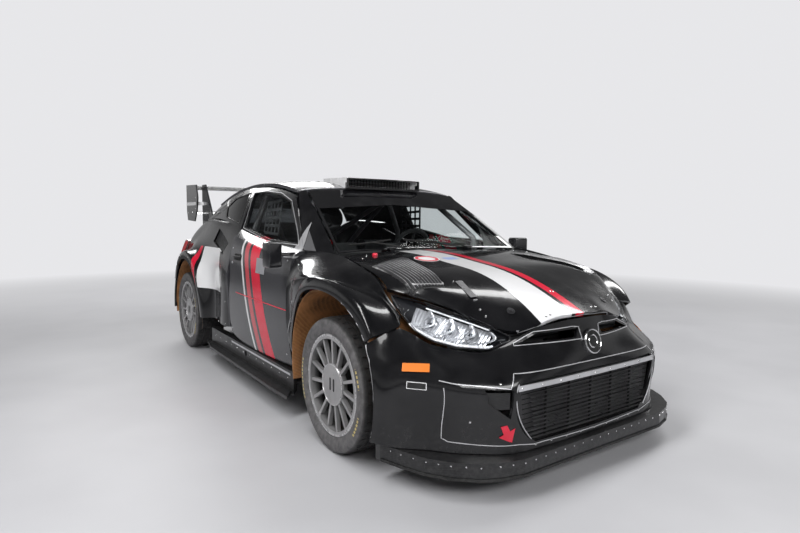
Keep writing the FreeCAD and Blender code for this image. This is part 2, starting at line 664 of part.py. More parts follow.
bonnet = cleared(bonnet, nose, ((0, 0, 1), (0, 0.7, 0.7)), LID_GAP)
for plate in grille[3:]:
    bonnet = cleared(bonnet, plate, ((0, 0, 1), (0, 1, 0), (0, 0.7, 0.7)), LID_GAP)
bonnet = largest(bonnet)
bonnet = fused([bonnet] + bonnet_hinge_parts)
for bore in bonnet_hinge_bores:
    bonnet = bonnet.cut(bore)
keep("bonnet", bonnet)
keep("bonnet_vents", both(vent))

TAILGATE = (
    ((566, 2652, 1234), (300, 2656, 1254), (0, 2658, 1260)),
    ((656, 2706, 1128), (350, 2784, 1150), (0, 2806, 1156)),
    ((692, 2890, 1010), (360, 2980, 1020), (0, 3000, 1024)),
    ((690, 3060, 900), (360, 3142, 900), (0, 3160, 900)),
    ((698, 3126, 780), (360, 3210, 780), (0, 3228, 780)),
    ((706, 3154, 662), (360, 3236, 662), (0, 3254, 662)),
)
tailgate = skin(grid(full_width(TAILGATE)), size["lid_wall"])
REAR_LIGHT = ((500, 2700), (600, 2830), (560, 2920), (-560, 2920), (-600, 2830), (-500, 2700))
light_hole = plan_prism(REAR_LIGHT, 900, 1400)
backlight = skin(grid(full_width(TAILGATE)), size["glass_wall"]).common(light_hole)
tailgate = fused([tailgate.cut(light_hole)] + tailgate_hinge_parts)
for bore in tailgate_hinge_bores:
    tailgate = tailgate.cut(bore)
keep("tailgate", tailgate)
keep("rear_window", backlight)

# ---------------------------------------------------------------- parts bound to the sheet

def bind(target, expressions):
    """Tie properties of an object to the sheet: property name to expression."""
    for name, expression in expressions.items():
        target.setExpression(name, expression)


PLANES = {"plan": "XY_Plane", "front": "XZ_Plane", "side": "YZ_Plane"}


def sketch_in(body, name, plane, corners):
    """A closed sketch whose corners (pairs of expressions, never negative) follow the sheet."""
    sketch = body.newObject("Sketcher::SketchObject", name)
    origin = [f for f in body.Origin.OriginFeatures if f.Role == PLANES[plane]][0]
    sketch.AttachmentSupport = [(origin, "")]
    sketch.MapMode = "FlatFace"
    count = len(corners)
    spots = [(value_of(a), value_of(b)) for a, b in corners]
    for i in range(count):
        start = Vector(spots[i][0], spots[i][1], 0)
        end = Vector(spots[(i + 1) % count][0], spots[(i + 1) % count][1], 0)
        sketch.addGeometry(Part.LineSegment(start, end), False)
    for i in range(count):
        sketch.addConstraint(Sketcher.Constraint("Coincident", i, 2, (i + 1) % count, 1))
    for i in range(count):
        for kind, value, expression in (
            ("DistanceX", spots[i][0], corners[i][0]),
            ("DistanceY", spots[i][1], corners[i][1]),
        ):
            number = sketch.addConstraint(Sketcher.Constraint(kind, -1, 1, i, 1, value))
            if "sizes." in expression:
                sketch.setExpression("Constraints[%d]" % number, expression)
    return sketch


def value_of(expression):
    """The number that an expression on the sheet gives now."""
    text = expression
    for alias in sorted(size, key=len, reverse=True):
        text = text.replace("sizes." + alias, str(size[alias]))
    total = 0.0
    for term in text.replace("-", "+-").split("+"):
        if term.strip():
            factors = term.replace(" ", "").split("*")
            product = 1.0
            for factor in factors:
                top, _, bottom = factor.partition("/")
                product *= float(top) / (float(bottom) if bottom else 1.0)
            total += product
    return total


def turned(name, corners):
    """A PartDesign body turned about its own Y axis from (radius, distance along Y) corners."""
    body = doc.addObject("PartDesign::Body", name)
    profile = sketch_in(body, name + "_profile", "plan", corners)
    spin = body.newObject("PartDesign::Revolution", name + "_turned")
    spin.Profile = profile
    spin.ReferenceAxis = (profile, ["V_Axis"])
    spin.Angle = 360
    return body


def padded(body, name, plane, corners, length):
    """A pad of a sketch on one of the body's planes."""
    profile = sketch_in(body, name + "_outline", plane, corners)
    pad = body.newObject("PartDesign::Pad", name)
    pad.Profile = profile
    bind(pad, {"Length": length})
    return pad


TYRE = (
    ("sizes.rim_radius", "20.5"),
    ("sizes.rim_lip + 2", "20.5"),
    ("sizes.rim_lip + 3", "12"),
    ("sizes.rim_lip + 16", "3"),
    ("sizes.tyre_radius - 32", "0"),
    ("sizes.tyre_radius - 10", "7"),
    ("sizes.tyre_radius - 2", "18"),
    ("sizes.tyre_radius", "34"),
    ("sizes.tyre_radius", "sizes.tyre_width - 34"),
    ("sizes.tyre_radius - 2", "sizes.tyre_width - 18"),
    ("sizes.tyre_radius - 10", "sizes.tyre_width - 7"),
    ("sizes.tyre_radius - 32", "sizes.tyre_width"),
    ("sizes.rim_lip + 16", "sizes.tyre_width - 3"),
    ("sizes.rim_lip + 3", "sizes.tyre_width - 12"),
    ("sizes.rim_lip + 2", "sizes.tyre_width - 20.5"),
    ("sizes.rim_radius", "sizes.tyre_width - 20.5"),
    ("sizes.rim_radius", "sizes.tyre_width - 40"),
    ("sizes.tyre_radius - 16", "sizes.tyre_width - 28"),
    ("sizes.tyre_radius - 16", "28"),
    ("sizes.rim_radius", "40"),
)
RIM = (
    ("sizes.rim_radius - sizes.rim_wall", "12.5"),
    ("sizes.rim_lip", "12.5"),
    ("sizes.rim_lip", "20.5"),
    ("sizes.rim_radius", "20.5"),
    ("sizes.rim_radius", "sizes.tyre_width - 20.5"),
    ("sizes.rim_lip", "sizes.tyre_width - 20.5"),
    ("sizes.rim_lip", "sizes.tyre_width - 12.5"),
    ("sizes.rim_radius - sizes.rim_wall", "sizes.tyre_width - 12.5"),
)
# Hub of the wheel from its bore outwards: bearing tube, brake disc, drive flange and centre disc.
HUB = (
    ("25.05", "70"),
    ("60", "70"),
    ("90", "84"),
    ("sizes.disc_radius", "84"),
    ("sizes.disc_radius", "84 + sizes.disc_thickness"),
    ("90", "84 + sizes.disc_thickness"),
    ("70", "sizes.tyre_width - 48"),
    ("sizes.hub_radius", "sizes.tyre_width - 48"),
    ("sizes.hub_radius", "sizes.tyre_width - 26"),
    ("sizes.hub_radius - 6", "sizes.tyre_width - 20"),
    ("0", "sizes.tyre_width - 20"),
    ("0", "sizes.tyre_width - 44"),
    ("25.05", "sizes.tyre_width - 44"),
)
SPOKE = (
    ("sizes.tyre_width - 46", "sizes.hub_radius - 6"),
    ("sizes.tyre_width - 24", "sizes.hub_radius - 6"),
    ("sizes.tyre_width - 20", "sizes.rim_radius - sizes.rim_wall + 4"),
    ("sizes.tyre_width - 40", "sizes.rim_radius - sizes.rim_wall + 4"),
)
WHEELS = (
    # name, side of the car, axle
    ("front_left", 1, "front"),
    ("front_right", -1, "front"),
    ("rear_left", 1, "rear"),
    ("rear_right", -1, "rear"),
)
AXLE_Y = {
    "front": "0 - sizes.overall_length / 2 + sizes.front_overhang",
    "rear": "0 - sizes.overall_length / 2 + sizes.front_overhang + sizes.wheelbase",
}
WHEEL_FACE = "sizes.overall_width / 2 - sizes.wheel_tuck"


def set_on_axle(part, side, axle):
    """Stand a turned part up with its Y axis pointing out of the car at a wheel's inner face."""
    part.Placement = Placement(Vector(0, 0, 0), Rotation(Vector(0, 0, 1), -90 * side))
    bind(part, {
        "Placement.Base.x": "%d * (%s - sizes.tyre_width)" % (side, WHEEL_FACE),
        "Placement.Base.y": AXLE_Y[axle],
        "Placement.Base.z": "sizes.tyre_radius",
    })


for name, side, axle in WHEELS:
    tyre = turned(name + "_tyre", TYRE)
    rim = turned(name + "_wheel", RIM)
    hub_profile = sketch_in(rim, name + "_hub_profile", "plan", HUB)
    hub = rim.newObject("PartDesign::Revolution", name + "_hub")
    hub.Profile = hub_profile
    hub.ReferenceAxis = (hub_profile, ["V_Axis"])
    hub.Angle = 360
    spoke = padded(rim, name + "_spoke", "side", SPOKE, "sizes.spoke_width")
    spoke.Midplane = True
    ring = rim.newObject("PartDesign::PolarPattern", name + "_spokes")
    ring.Originals = [spoke]
    ring.Axis = ([f for f in rim.Origin.OriginFeatures if f.Role == "Y_Axis"][0], [""])
    ring.Angle = 360
    bind(ring, {"Occurrences": "sizes.spoke_count"})
    rim.Tip = ring
    for part in (tyre, rim):
        set_on_axle(part, side, axle)
        nodes[part.Label] = part


# ---------------------------------------------------------------- suspension and steering
WHEEL_OUT = size["overall_width"] / 2 - size["wheel_tuck"]
WHEEL_IN = WHEEL_OUT - size["tyre_width"]
KING_LOW = Vector(WHEEL_IN + 40, 0, AXLE_HEIGHT - 150)
KING_TOP = Vector(WHEEL_IN - 120, 0, AXLE_HEIGHT + 500)
KING_LINE = (KING_TOP - KING_LOW).normalize()
PIN = 12.0
RUNNING = 0.05
SPINDLE = 25.0


def on_king(height):
    """The point of the steering axis at a height."""
    return KING_LOW + KING_LINE * ((height - KING_LOW.z) / KING_LINE.z)


def shifted(shape, y):
    """A copy moved along the car."""
    moved = shape.copy()
    moved.translate(Vector(0, y, 0))
    return moved


def upright(bored):
    """Hub carrier with spindle, ball pin, strut tube and caliper at axle y = 0, bored for the strut."""
    centre = on_king(AXLE_HEIGHT)
    block = Part.makeBox(52, 90, 190, Vector(WHEEL_IN + 2, -45, AXLE_HEIGHT - 95))
    spindle = tube(Vector(WHEEL_IN + 40, 0, AXLE_HEIGHT), Vector(WHEEL_IN + 170, 0, AXLE_HEIGHT), SPINDLE)
    low_pin = tube(on_king(AXLE_HEIGHT - 178), on_king(AXLE_HEIGHT - 80), PIN)
    neck = tube(on_king(AXLE_HEIGHT + 60), on_king(AXLE_HEIGHT + 200), 26)
    caliper = Part.makeBox(76, 120, 60, Vector(WHEEL_IN + 60, -60, AXLE_HEIGHT + 140))
    bridge = Part.makeBox(36, 60, 100, Vector(WHEEL_IN + 30, -30, AXLE_HEIGHT + 90))
    steer_arm = Part.makeBox(24, 110, 22, Vector(WHEEL_IN + 6, 40, AXLE_HEIGHT - 70))
    whole = fused([block, spindle, low_pin, neck, bridge, caliper, steer_arm])
    disc_room = tube(
        Vector(WHEEL_IN + 78, 0, AXLE_HEIGHT),
        Vector(WHEEL_IN + 90 + size["disc_thickness"], 0, AXLE_HEIGHT),
        size["disc_radius"] + 6,
    )
    spindle_from, spindle_to = [Vector(WHEEL_IN + x, 0, AXLE_HEIGHT) for x in (70, 170)]
    spindle_again = tube(spindle_from, spindle_to, SPINDLE)
    whole = whole.cut(disc_room).fuse(spindle_again).removeSplitter()
    if not bored:
        return whole
    return whole.cut(tube(on_king(AXLE_HEIGHT + 110), on_king(AXLE_HEIGHT + 260), PIN + RUNNING))


def strut():
    """Damper rod, spring and top mount, which stay with the body."""
    rod = tube(on_king(AXLE_HEIGHT + 120), on_king(AXLE_HEIGHT + 500), PIN)
    spring = tube(on_king(AXLE_HEIGHT + 215), on_king(AXLE_HEIGHT + 440), 48)
    cap = tube(on_king(AXLE_HEIGHT + 440), on_king(AXLE_HEIGHT + 462), 75)
    return fused([rod, spring, cap])


def lower_arm(bored):
    """A wishbone from two chassis pivots out to the ball pin, bored where the pin turns in it."""
    eye_point = on_king(AXLE_HEIGHT - 150)
    eye = tube(on_king(AXLE_HEIGHT - 162), on_king(AXLE_HEIGHT - 138), 30)
    legs = [tube(Vector(330, y, AXLE_HEIGHT - 150), eye_point, 15) for y in (-150, 150)]
    if not bored:
        return fused([eye] + legs)
    pin_bore = tube(on_king(AXLE_HEIGHT - 200), on_king(AXLE_HEIGHT - 100), PIN + RUNNING)
    return fused([eye] + legs).cut(pin_bore)


front_upright = shifted(upright(True), FRONT_AXLE)
keep("front_left_hub_carrier", front_upright)
keep("front_right_hub_carrier", mirrored(front_upright))
front_strut = shifted(strut(), FRONT_AXLE)
front_arm = shifted(lower_arm(True), FRONT_AXLE)
BEAM_LOW = size["floor_height"] + size["floor_wall"]
front_beam = Part.makeBox(700, 360, 30, Vector(-350, FRONT_AXLE - 180, BEAM_LOW))
keep("front_suspension", [
    fused([front_beam, front_arm, mirrored(front_arm)]),
    front_strut,
    mirrored(front_strut),
])
rear_upright = shifted(upright(False), REAR_AXLE)
rear_strut = shifted(strut(), REAR_AXLE)
rear_arm = shifted(lower_arm(False), REAR_AXLE)
rear_beam = Part.makeBox(700, 360, 30, Vector(-350, REAR_AXLE - 180, BEAM_LOW))
rear_side = fused([rear_upright, rear_strut])
exhaust = fused([
    tube(place(-60, 2300, 240), place(-60, 3310, 240), 38),
    tube(place(-60, 3280, 240), place(-60, 3372, 240), 52),
])
keep("exhaust", exhaust)
rear_suspension = fused([rear_beam, rear_arm, mirrored(rear_arm), rear_side, mirrored(rear_side)])
keep("rear_suspension", rear_suspension.cut(exhaust))

# ---------------------------------------------------------------- floor, sills and aero
floor_low = size["floor_height"]
floor_top = floor_low + size["floor_wall"]
FLOOR = (
    (300, -560), (300, 380), (680, 520), (800, 620), (800, 2060), (680, 2160), (300, 2260), (300, 3150),
    (-300, 3150), (-300, 2260), (-680, 2160), (-800, 2060),
    (-800, 620), (-680, 520), (-300, 380), (-300, -560),
)
floor_pan = fused([
    plan_prism(FLOOR, floor_low, floor_top),
    plan_prism(((-560, 560), (560, 560), (560, 584), (-560, 584)), floor_low, 880),
    plan_prism(((-480, 2840), (480, 2840), (480, 2860), (-480, 2860)), floor_low, 880),
])
keep("floor_pan", floor_pan.cut(exhaust))
SPLITTER = (
    (0, -842), (480, -842), (589, -813), (660, -778), (746, -698), (804, -613), (846, -500), (876, -395),
    (878, -362), (700, -362), (690, -560),
)
splitter_plan = list(SPLITTER) + [(-x, s) for x, s in reversed(SPLITTER[1:])]
lip = size["splitter_height"]
keep("front_splitter", plan_prism(splitter_plan, lip, lip + size["splitter_wall"]))
SKIRT = ((806, 640), (925, 470), (930, 700), (925, 1900), (880, 2150), (806, 2100))
BLADE_WALL = 18
skirt = fused([
    plan_prism(SKIRT, 122, 122 + BLADE_WALL),
    plan_prism(((806, 600), (862, 520), (862, 2080), (806, 2080)), 122, 252),
])
JACK_SOCKET = 20
JACK = place(862, 1300, 200)
jack_bore = tube(JACK - Vector(50, 0, 0), JACK + Vector(80, 0, 0), JACK_SOCKET)
keep("side_skirts", both(skirt.cut(jack_bore)))
FIN_OFFSETS = (-540, -270, 20, 270, 540)
FIN = ((-5, 3156), (5, 3156), (5, 3366), (-5, 3366))
fins = [plan_prism([(x + side, s) for side, s in FIN], 180, 256) for x in FIN_OFFSETS]
diffuser = fused([plan_prism(((-560, 3156), (560, 3156), (560, 3346), (-560, 3346)), 250, 262)] + fins)
keep("rear_diffuser", diffuser.cut(exhaust))
WING = ((3030, 1372), (3100, 1402), (3220, 1418), (3374, 1428), (3374, 1416), (3220, 1398), (3100, 1374))
wing_plane = side_prism(WING, -across(700), across(700))
LOW_PLANE = ((3070, 1150), (3150, 1168), (3310, 1180), (3310, 1168), (3150, 1150))
low_plane = side_prism(LOW_PLANE, -across(700), across(700))
END = ((2996, 1300), (3040, 1420), (3383, 1430), (3383, 1180), (3350, 1090), (3110, 1080), (3030, 1180))
ends = [side_prism(END, across(700), across(712)), side_prism(END, across(-712), across(-700))]
STAY = ((2740, 1120), (2960, 1420), (3060, 1420), (3060, 1000), (2990, 1010), (2830, 1070))
stay = largest(side_prism(STAY, across(636), across(650)).cut(tailgate).cut(backlight))
keep("rear_wing", fused([wing_plane, low_plane, stay, mirrored(stay)] + ends))

# Arch liners: a band that follows each arch edge, closed on its inner side.
LINER_WALL = 5
LINER_IN = 505
LINER_ANGLES = (-14, 8, 30, 52, 75, 95, 115, 132, 150, 172, 190)
LINER_REACH = size["liner_gap"] - size["arch_gap"]
FRONT_REACH = [LINER_REACH + more for more in (-18, -12, 0, 6, 8, 12, 40, 52, 38, 16, 8)]
REAR_REACH = [LINER_REACH] * len(LINER_ANGLES)


def liner(station, reaches):
    """The band and its inner wall over the wheel of one axle, on the car's left side."""
    rounds = []
    for offset in (LINER_IN, 640, 780, 902):
        row = [arch_point(station, angle, reach, offset) for angle, reach in zip(LINER_ANGLES, reaches)]
        rounds.append(row)
    band = skin([list(reversed(row)) for row in rounds], LINER_WALL)
    edge = rounds[0]
    wall = Part.Face(Part.makePolygon(edge + edge[:1])).extrude(Vector(LINER_WALL, 0, 0))
    return fused([band, wall])


front_liner = largest(liner(0, FRONT_REACH).cut(front_strut))
rear_liner = largest(liner(DRAWN_WHEELBASE, REAR_REACH).cut(rear_strut).cut(rear_bumper))
keep("wheel_arch_liners", both(front_liner) + both(rear_liner))

# ---------------------------------------------------------------- cabin and engine bay
keep("engine_block", plan_prism(((-300, -250), (300, -250), (300, 250), (-300, 250)), 240, 720))


def seat():
    """A bucket seat: base, back, side wings and two floor rails."""
    base = Part.makeBox(400, 440, 60, Vector(-200, 0, 60))
    bolsters = [Part.makeBox(45, 440, 130, Vector(x, 0, 60)) for x in (-235, 190)]
    back = Part.makeBox(400, 60, 720, Vector(-200, 420, 60))
    wings = [Part.makeBox(45, 160, 560, Vector(x, 320, 60)) for x in (-235, 190)]
    head = [Part.makeBox(40, 200, 160, Vector(x, 280, 620)) for x in (-200, 160)]
    rails = [Part.makeBox(30, 420, 62, Vector(x, 20, 0)) for x in (-170, 140)]
    return fused([base, back] + bolsters + wings + head + rails)


SEAT_OFFSET = 340
seats = []
for x in (-SEAT_OFFSET, SEAT_OFFSET):
    one = seat()
    one.translate(Vector(across(x), along(1180), floor_top))
    seats.append(one)
keep("seats", seats)

radius = size["cage_tube"]
CAGE = (
    # main hoop, then the screen legs, roof bars, rear stays and door bars, each a pair of corners
    ((650, 1700, 186), (650, 1700, 1010)),
    ((650, 1700, 1010), (540, 1700, 1290)),
    ((540, 1700, 1290), (-540, 1700, 1290)),
    ((540, 1700, 1290), (510, 1010, 1236)),
    ((510, 1010, 1236), (-510, 1010, 1236)),
    ((510, 1010, 1236), (610, 680, 980)),
    ((610, 680, 980), (650, 640, 186)),
    ((540, 1700, 1290), (440, 2500, 700)),
    ((540, 1700, 1290), (0, 2500, 700)),
    ((640, 660, 420), (650, 1700, 640)),
    ((640, 660, 640), (650, 1700, 420)),
    ((650, 1700, 900), (-650, 1700, 300)),
    ((540, 1700, 1290), (-510, 1010, 1236)),
)
bars = []
for start, end in CAGE:
    for flip in (1, -1):
        a = place(start[0], start[1], start[2])
        b = place(end[0], end[1], end[2])
        bars.append(tube(Vector(a.x * flip, a.y, a.z), Vector(b.x * flip, b.y, b.z), radius))
        bars.append(Part.makeSphere(radius, Vector(b.x * flip, b.y, b.z)))
keep("roll_cage", fused(bars))

COLUMN_LOW = place(340, 860, 800)
COLUMN_HIGH = place(340, 1080, 873)
column_line = (COLUMN_HIGH - COLUMN_LOW).normalize()
DASH = ((-530, 700), (530, 700), (560, 860), (480, 900), (-480, 900), (-560, 860))
column = tube(COLUMN_LOW - column_line * 40, COLUMN_HIGH - column_line * 25, 22)
keep("dashboard", fused([front_prism(DASH, 660, 880), column]))
wheel_ring = Part.makeTorus(size["steering_wheel_radius"], 15, COLUMN_HIGH, column_line)
boss = Part.makeCylinder(38, 30, COLUMN_HIGH - column_line * 15, column_line)
arms = []
for degrees in (0, 180, 270):
    outward = Rotation(column_line, degrees).multVec(Vector(1, 0, 0))
    arms.append(tube(COLUMN_HIGH + outward * 30, COLUMN_HIGH + outward * size["steering_wheel_radius"], 9))
keep("steering_wheel", fused([wheel_ring, boss] + arms))

mirror_box = plan_prism(((905, 546), (1000, 512), (1008, 544), (1004, 612), (912, 636)), 840, 984)
mirror_arm = plan_prism(((780, 608), (925, 588), (925, 618), (780, 640)), 898, 920)
mirror = largest(fused([mirror_box, mirror_arm]).cut(door).cut(pane))
keep("left_mirror", mirror)
keep("right_mirror", mirrored(mirror))
doc.recompute()

# ---------------------------------------------------------------- checks and files
for item in doc.Objects:
    if "Invalid" in item.State or "Error" in item.State:
        raise RuntimeError("failed: " + item.Label)
for name, node in nodes.items():
    shape = node.Shape
    if shape.isNull() or not shape.isValid():
        raise RuntimeError("bad shape: " + name)
    shape.exportStep("parts/" + name + ".step")
    box = shape.BoundBox
    print("%-24s %2d solids %8.2f l  x %6.0f %6.0f  y %6.0f %6.0f  z %6.0f %6.0f" % (
        name, len(shape.Solids), shape.Volume / 1e6,
        box.XMin, box.XMax, box.YMin, box.YMax, box.ZMin, box.ZMax,
    ))
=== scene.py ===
"""The looks of a low two-door rally car: paint, glass, wheels, lamps, trim and cabin."""
import json
import logging
import math
from dataclasses import dataclass
from enum import Enum
from typing import Any, Iterable, Optional, Sequence, Union

import bmesh
import bpy
from mathutils import Matrix, Vector
from mathutils.bvhtree import BVHTree


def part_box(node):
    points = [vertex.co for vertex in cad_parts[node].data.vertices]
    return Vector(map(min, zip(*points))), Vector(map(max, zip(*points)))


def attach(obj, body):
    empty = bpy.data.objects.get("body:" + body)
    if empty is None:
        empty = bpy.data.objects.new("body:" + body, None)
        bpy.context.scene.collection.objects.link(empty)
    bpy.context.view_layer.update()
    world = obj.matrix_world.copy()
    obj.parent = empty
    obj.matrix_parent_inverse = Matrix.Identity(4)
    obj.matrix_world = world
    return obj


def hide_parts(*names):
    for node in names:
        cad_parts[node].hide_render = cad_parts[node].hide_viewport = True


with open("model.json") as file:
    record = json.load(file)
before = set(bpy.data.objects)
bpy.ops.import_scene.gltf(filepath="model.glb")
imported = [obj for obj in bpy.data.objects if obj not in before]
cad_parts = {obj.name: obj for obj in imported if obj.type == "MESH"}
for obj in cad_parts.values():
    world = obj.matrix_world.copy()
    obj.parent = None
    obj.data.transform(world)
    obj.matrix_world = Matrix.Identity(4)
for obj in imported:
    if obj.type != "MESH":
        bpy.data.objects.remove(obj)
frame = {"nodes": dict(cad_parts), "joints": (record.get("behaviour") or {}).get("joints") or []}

LOG = logging.getLogger("rally_car")
NODES: dict = frame["nodes"]
JOINTS: dict = {joint["name"]: joint for joint in frame["joints"]}
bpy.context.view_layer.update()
FRONT_AXLE: float = JOINTS["front_left_spin"]["pos_m"][1]
REAR_AXLE: float = JOINTS["rear_left_spin"]["pos_m"][1]
WHEEL_LEVEL: float = JOINTS["front_left_spin"]["pos_m"][2]

Material = bpy.types.Material
Colour = tuple[float, float, float]
Point2 = tuple[float, float]
Point3 = tuple[float, float, float]

BLACK: Colour = (0.005, 0.005, 0.006)
WHITE: Colour = (0.82, 0.82, 0.83)
RED: Colour = (0.74, 0.012, 0.045)
# grey of a painted reflection: the pale surround mirrored in the gloss black doors
DOOR_REFLECTION_GREY: Colour = (0.045, 0.045, 0.050)
SILVER: Colour = (0.55, 0.55, 0.57)
ASH: Colour = (0.36, 0.36, 0.37)
# mid grey of a painted highlight: the shine on the gloss black paint at the pillar's foot
SAIL_FOOT_HIGHLIGHT: Colour = (0.11, 0.11, 0.115)
ROSE: Colour = (0.58, 0.075, 0.09)

UP = Vector((0, 0, 1))
DOWN = -UP
REARWARD = Vector((0, 1, 0))
FORWARD = -REARWARD
LEFTWARD = Vector((1, 0, 0))
SCREW: Point2 = (0.006, 0.0025)


def at(offset: float, station: float, level: float) -> Vector:
    """A place on the car: mm to its left, mm behind the front axle, mm above the ground."""
    return Vector((offset / 1000, FRONT_AXLE + station / 1000, level / 1000))


def run(station: float) -> float:
    """The lengthwise coordinate, in metres, of a station in mm behind the front axle."""
    return FRONT_AXLE + station / 1000


# ------------------------------------------------------------------ shader expressions

Value = Union["Wire", float, int, tuple]


class Wire:
    """A shader socket that can be used in Python expressions."""

    def __init__(self, graph: "Graph", socket: Any) -> None:
        """Keep the graph that the socket belongs to.

        Args:
            graph: the material's graph.
            socket: an output socket of one of its nodes.
        """
        self.graph = graph
        self.socket = socket

    def maths(self, operation: str, *others: Value, clamp: bool = False) -> "Wire":
        """This value put through a Math node with the others.

        Args:
            operation: the Math node's operation.
            others: its other values.
            clamp: True to keep the result between 0 and 1.

        Returns:
            The node's result.
        """
        inputs = dict(enumerate((self, *others)))
        return self.graph.node("ShaderNodeMath", {"operation": operation, "use_clamp": clamp},
                               inputs)

    def __add__(self, other: Value) -> "Wire":
        """Sum."""
        return self.maths("ADD", other)

    __radd__ = __add__

    def __sub__(self, other: Value) -> "Wire":
        """Difference."""
        return self.maths("SUBTRACT", other)

    def __rsub__(self, other: Value) -> "Wire":
        """Difference from a plain number."""
        return (self * -1.0) + other

    def __mul__(self, other: Value) -> "Wire":
        """Product."""
        return self.maths("MULTIPLY", other)

    __rmul__ = __mul__

    def __truediv__(self, other: Value) -> "Wire":
        """Quotient."""
        return self.maths("DIVIDE", other)

    def __abs__(self) -> "Wire":
        """Size without its sign."""
        return self.maths("ABSOLUTE")

    def power(self, other: Value) -> "Wire":
        """This value raised to a power."""
        return self.maths("POWER", other)

    def least(self, other: Value) -> "Wire":
        """The smaller of two values."""
        return self.maths("MINIMUM", other)

    def most(self, other: Value) -> "Wire":
        """The larger of two values."""
        return self.maths("MAXIMUM", other)

    def ramp(self, low: float, high: float) -> "Wire":
        """0 at or below low, 1 at or above high, straight between them (either way round)."""
        scale = 1.0 / (high - low)
        return self.maths("MULTIPLY_ADD", scale, -low * scale, clamp=True)

    def wave(self, turns: float) -> "Wire":
        """A sine of this value with so many turns for each unit, between -1 and 1."""
        return (self * (turns * 2 * math.pi)).maths("SINE")


class Graph:
    """A material being wired."""

    def __init__(self, name: str) -> None:
        """Start an empty material.

        Args:
            name: the material's name.
        """
        self.material = bpy.data.materials.new(name)
        self.material.use_nodes = True
        self.tree = self.material.node_tree
        self.tree.nodes.clear()
        self._place: Optional[Wire] = None

    def node(self, kind: str, settings: Optional[dict] = None, inputs: Optional[dict] = None,
             out: Any = 0) -> Wire:
        """Add any node.

        Args:
            kind: the node's type.
            settings: properties set first; "stops" holds a colour ramp's (place, colour) pairs.
            inputs: input socket name or number to a value or wire.
            out: name or number of the output wanted.

        Returns:
            That output.
        """
        made = self.tree.nodes.new(kind)
        for key, value in (settings or {}).items():
            if key == "stops":
                ramp = made.color_ramp.elements
                while len(ramp) < len(value):
                    ramp.new(0.5)
                for stop, (place, colour) in zip(ramp, value):
                    stop.position = place
                    stop.color = (*colour, 1.0)
            else:
                setattr(made, key, value)
        for key, value in (inputs or {}).items():
            self.feed(made.inputs[key], value)
        return Wire(self, made.outputs[out])

    def feed(self, socket: Any, value: Value) -> None:
        """Link a wire to an input, or set the input's own value."""
        if isinstance(value, Wire):
            self.tree.links.new(value.socket, socket)
        elif isinstance(value, tuple) and len(value) == 3 and socket.type == "RGBA":
            socket.default_value = (*value, 1.0)
        else:
            socket.default_value = value

    @property
    def place(self) -> Wire:
        """Object coordinates, which are the car's own metres."""
        if self._place is None:
            self._place = self.node("ShaderNodeTexCoord", out="Object")
        return self._place

    def axes(self) -> tuple[Wire, Wire, Wire]:
        """The three coordinates on their own."""
        split = self.node("ShaderNodeSeparateXYZ", None, {0: self.place})
        return tuple(Wire(self, split.socket.node.outputs[i]) for i in range(3))

    def join(self, a: Value, b: Value, c: Value) -> Wire:
        """Three numbers as one vector."""
        return self.node("ShaderNodeCombineXYZ", None, {0: a, 1: b, 2: c})

    def blend(self, share: Value, first: Value, second: Value) -> Wire:
        """A colour between two others.

        Args:
            share: 0 for the first colour, 1 for the second.
            first: a colour.
            second: a colour.

        Returns:
            The mixed colour.
        """
        return self.node("ShaderNodeMix", {"data_type": "RGBA"}, {0: share, 6: first, 7: second},
                         out=2)

    def vector(self, operation: str, a: Value, b: Value, out: str = "Vector") -> Wire:
        """Two vectors through a Vector Math node."""
        return self.node("ShaderNodeVectorMath", {"operation": operation}, {0: a, 1: b}, out=out)

    def noise(self, scale: float, detail: float = 3.0, stretch: Point3 = (1.0, 1.0, 1.0),
              rough: float = 0.5) -> Wire:
        """Noise from 0 to 1 over the car.

        Args:
            scale: features for each metre.
            detail: finer layers.
            stretch: scale along each axis.
            rough: weight of the finer layers.

        Returns:
            The noise's height.
        """
        spot = self.vector("MULTIPLY", self.place, stretch)
        return self.node("ShaderNodeTexNoise", None,
                         {"Vector": spot, "Scale": scale, "Detail": detail, "Roughness": rough})

    def patch(self, plane: Wire, corners: Sequence[Point2], soft: float = 0.0012) -> Wire:
        """1 inside a convex outline and 0 outside it.

        Args:
            plane: a vector of the two coordinates and 1.
            corners: the outline's corners in those coordinates, in metres.
            soft: width of the edge.

        Returns:
            The mask.
        """
        area = sum(a[0] * b[1] - b[0] * a[1] for a, b in zip(corners, [*corners[1:], corners[0]]))
        ring = list(corners) if area > 0 else list(reversed(corners))
        inside: Optional[Wire] = None
        for (u0, v0), (u1, v1) in zip(ring, ring[1:] + ring[:1]):
            length = math.hypot(u1 - u0, v1 - v0)
            a, b = -(v1 - v0) / length, (u1 - u0) / length
            edge = self.vector("DOT_PRODUCT", plane, (a, b, -(a * u0 + b * v0)), out="Value")
            inside = edge if inside is None else inside.least(edge)
        return inside.ramp(-soft / 2, soft / 2)

    def bump(self, height: Value, depth: float, under: Optional[Wire] = None) -> Wire:
        """A Bump node's normal.

        Args:
            height: heights from 0 to 1.
            depth: metres that 1 stands for.
            under: another normal below this one.

        Returns:
            The normal.
        """
        inputs = {"Height": height, "Distance": depth, "Strength": 1.0}
        if under is not None:
            inputs["Normal"] = under
        return self.node("ShaderNodeBump", None, inputs)

    def surface(self, **sockets: Value) -> Wire:
        """A Principled shader.

        Args:
            sockets: its sockets' names with underscores for spaces.

        Returns:
            The shader.
        """
        inputs = {key.replace("_", " "): value for key, value in sockets.items()}
        return self.node("ShaderNodeBsdfPrincipled", None, inputs)

    def finish(self, shader: Wire) -> Material:
        """Wire the shader to the output and return the material."""
        target = self.tree.nodes.new("ShaderNodeOutputMaterial")
        self.tree.links.new(shader.socket, target.inputs["Surface"])
        return self.material


# ------------------------------------------------------------------ finishes

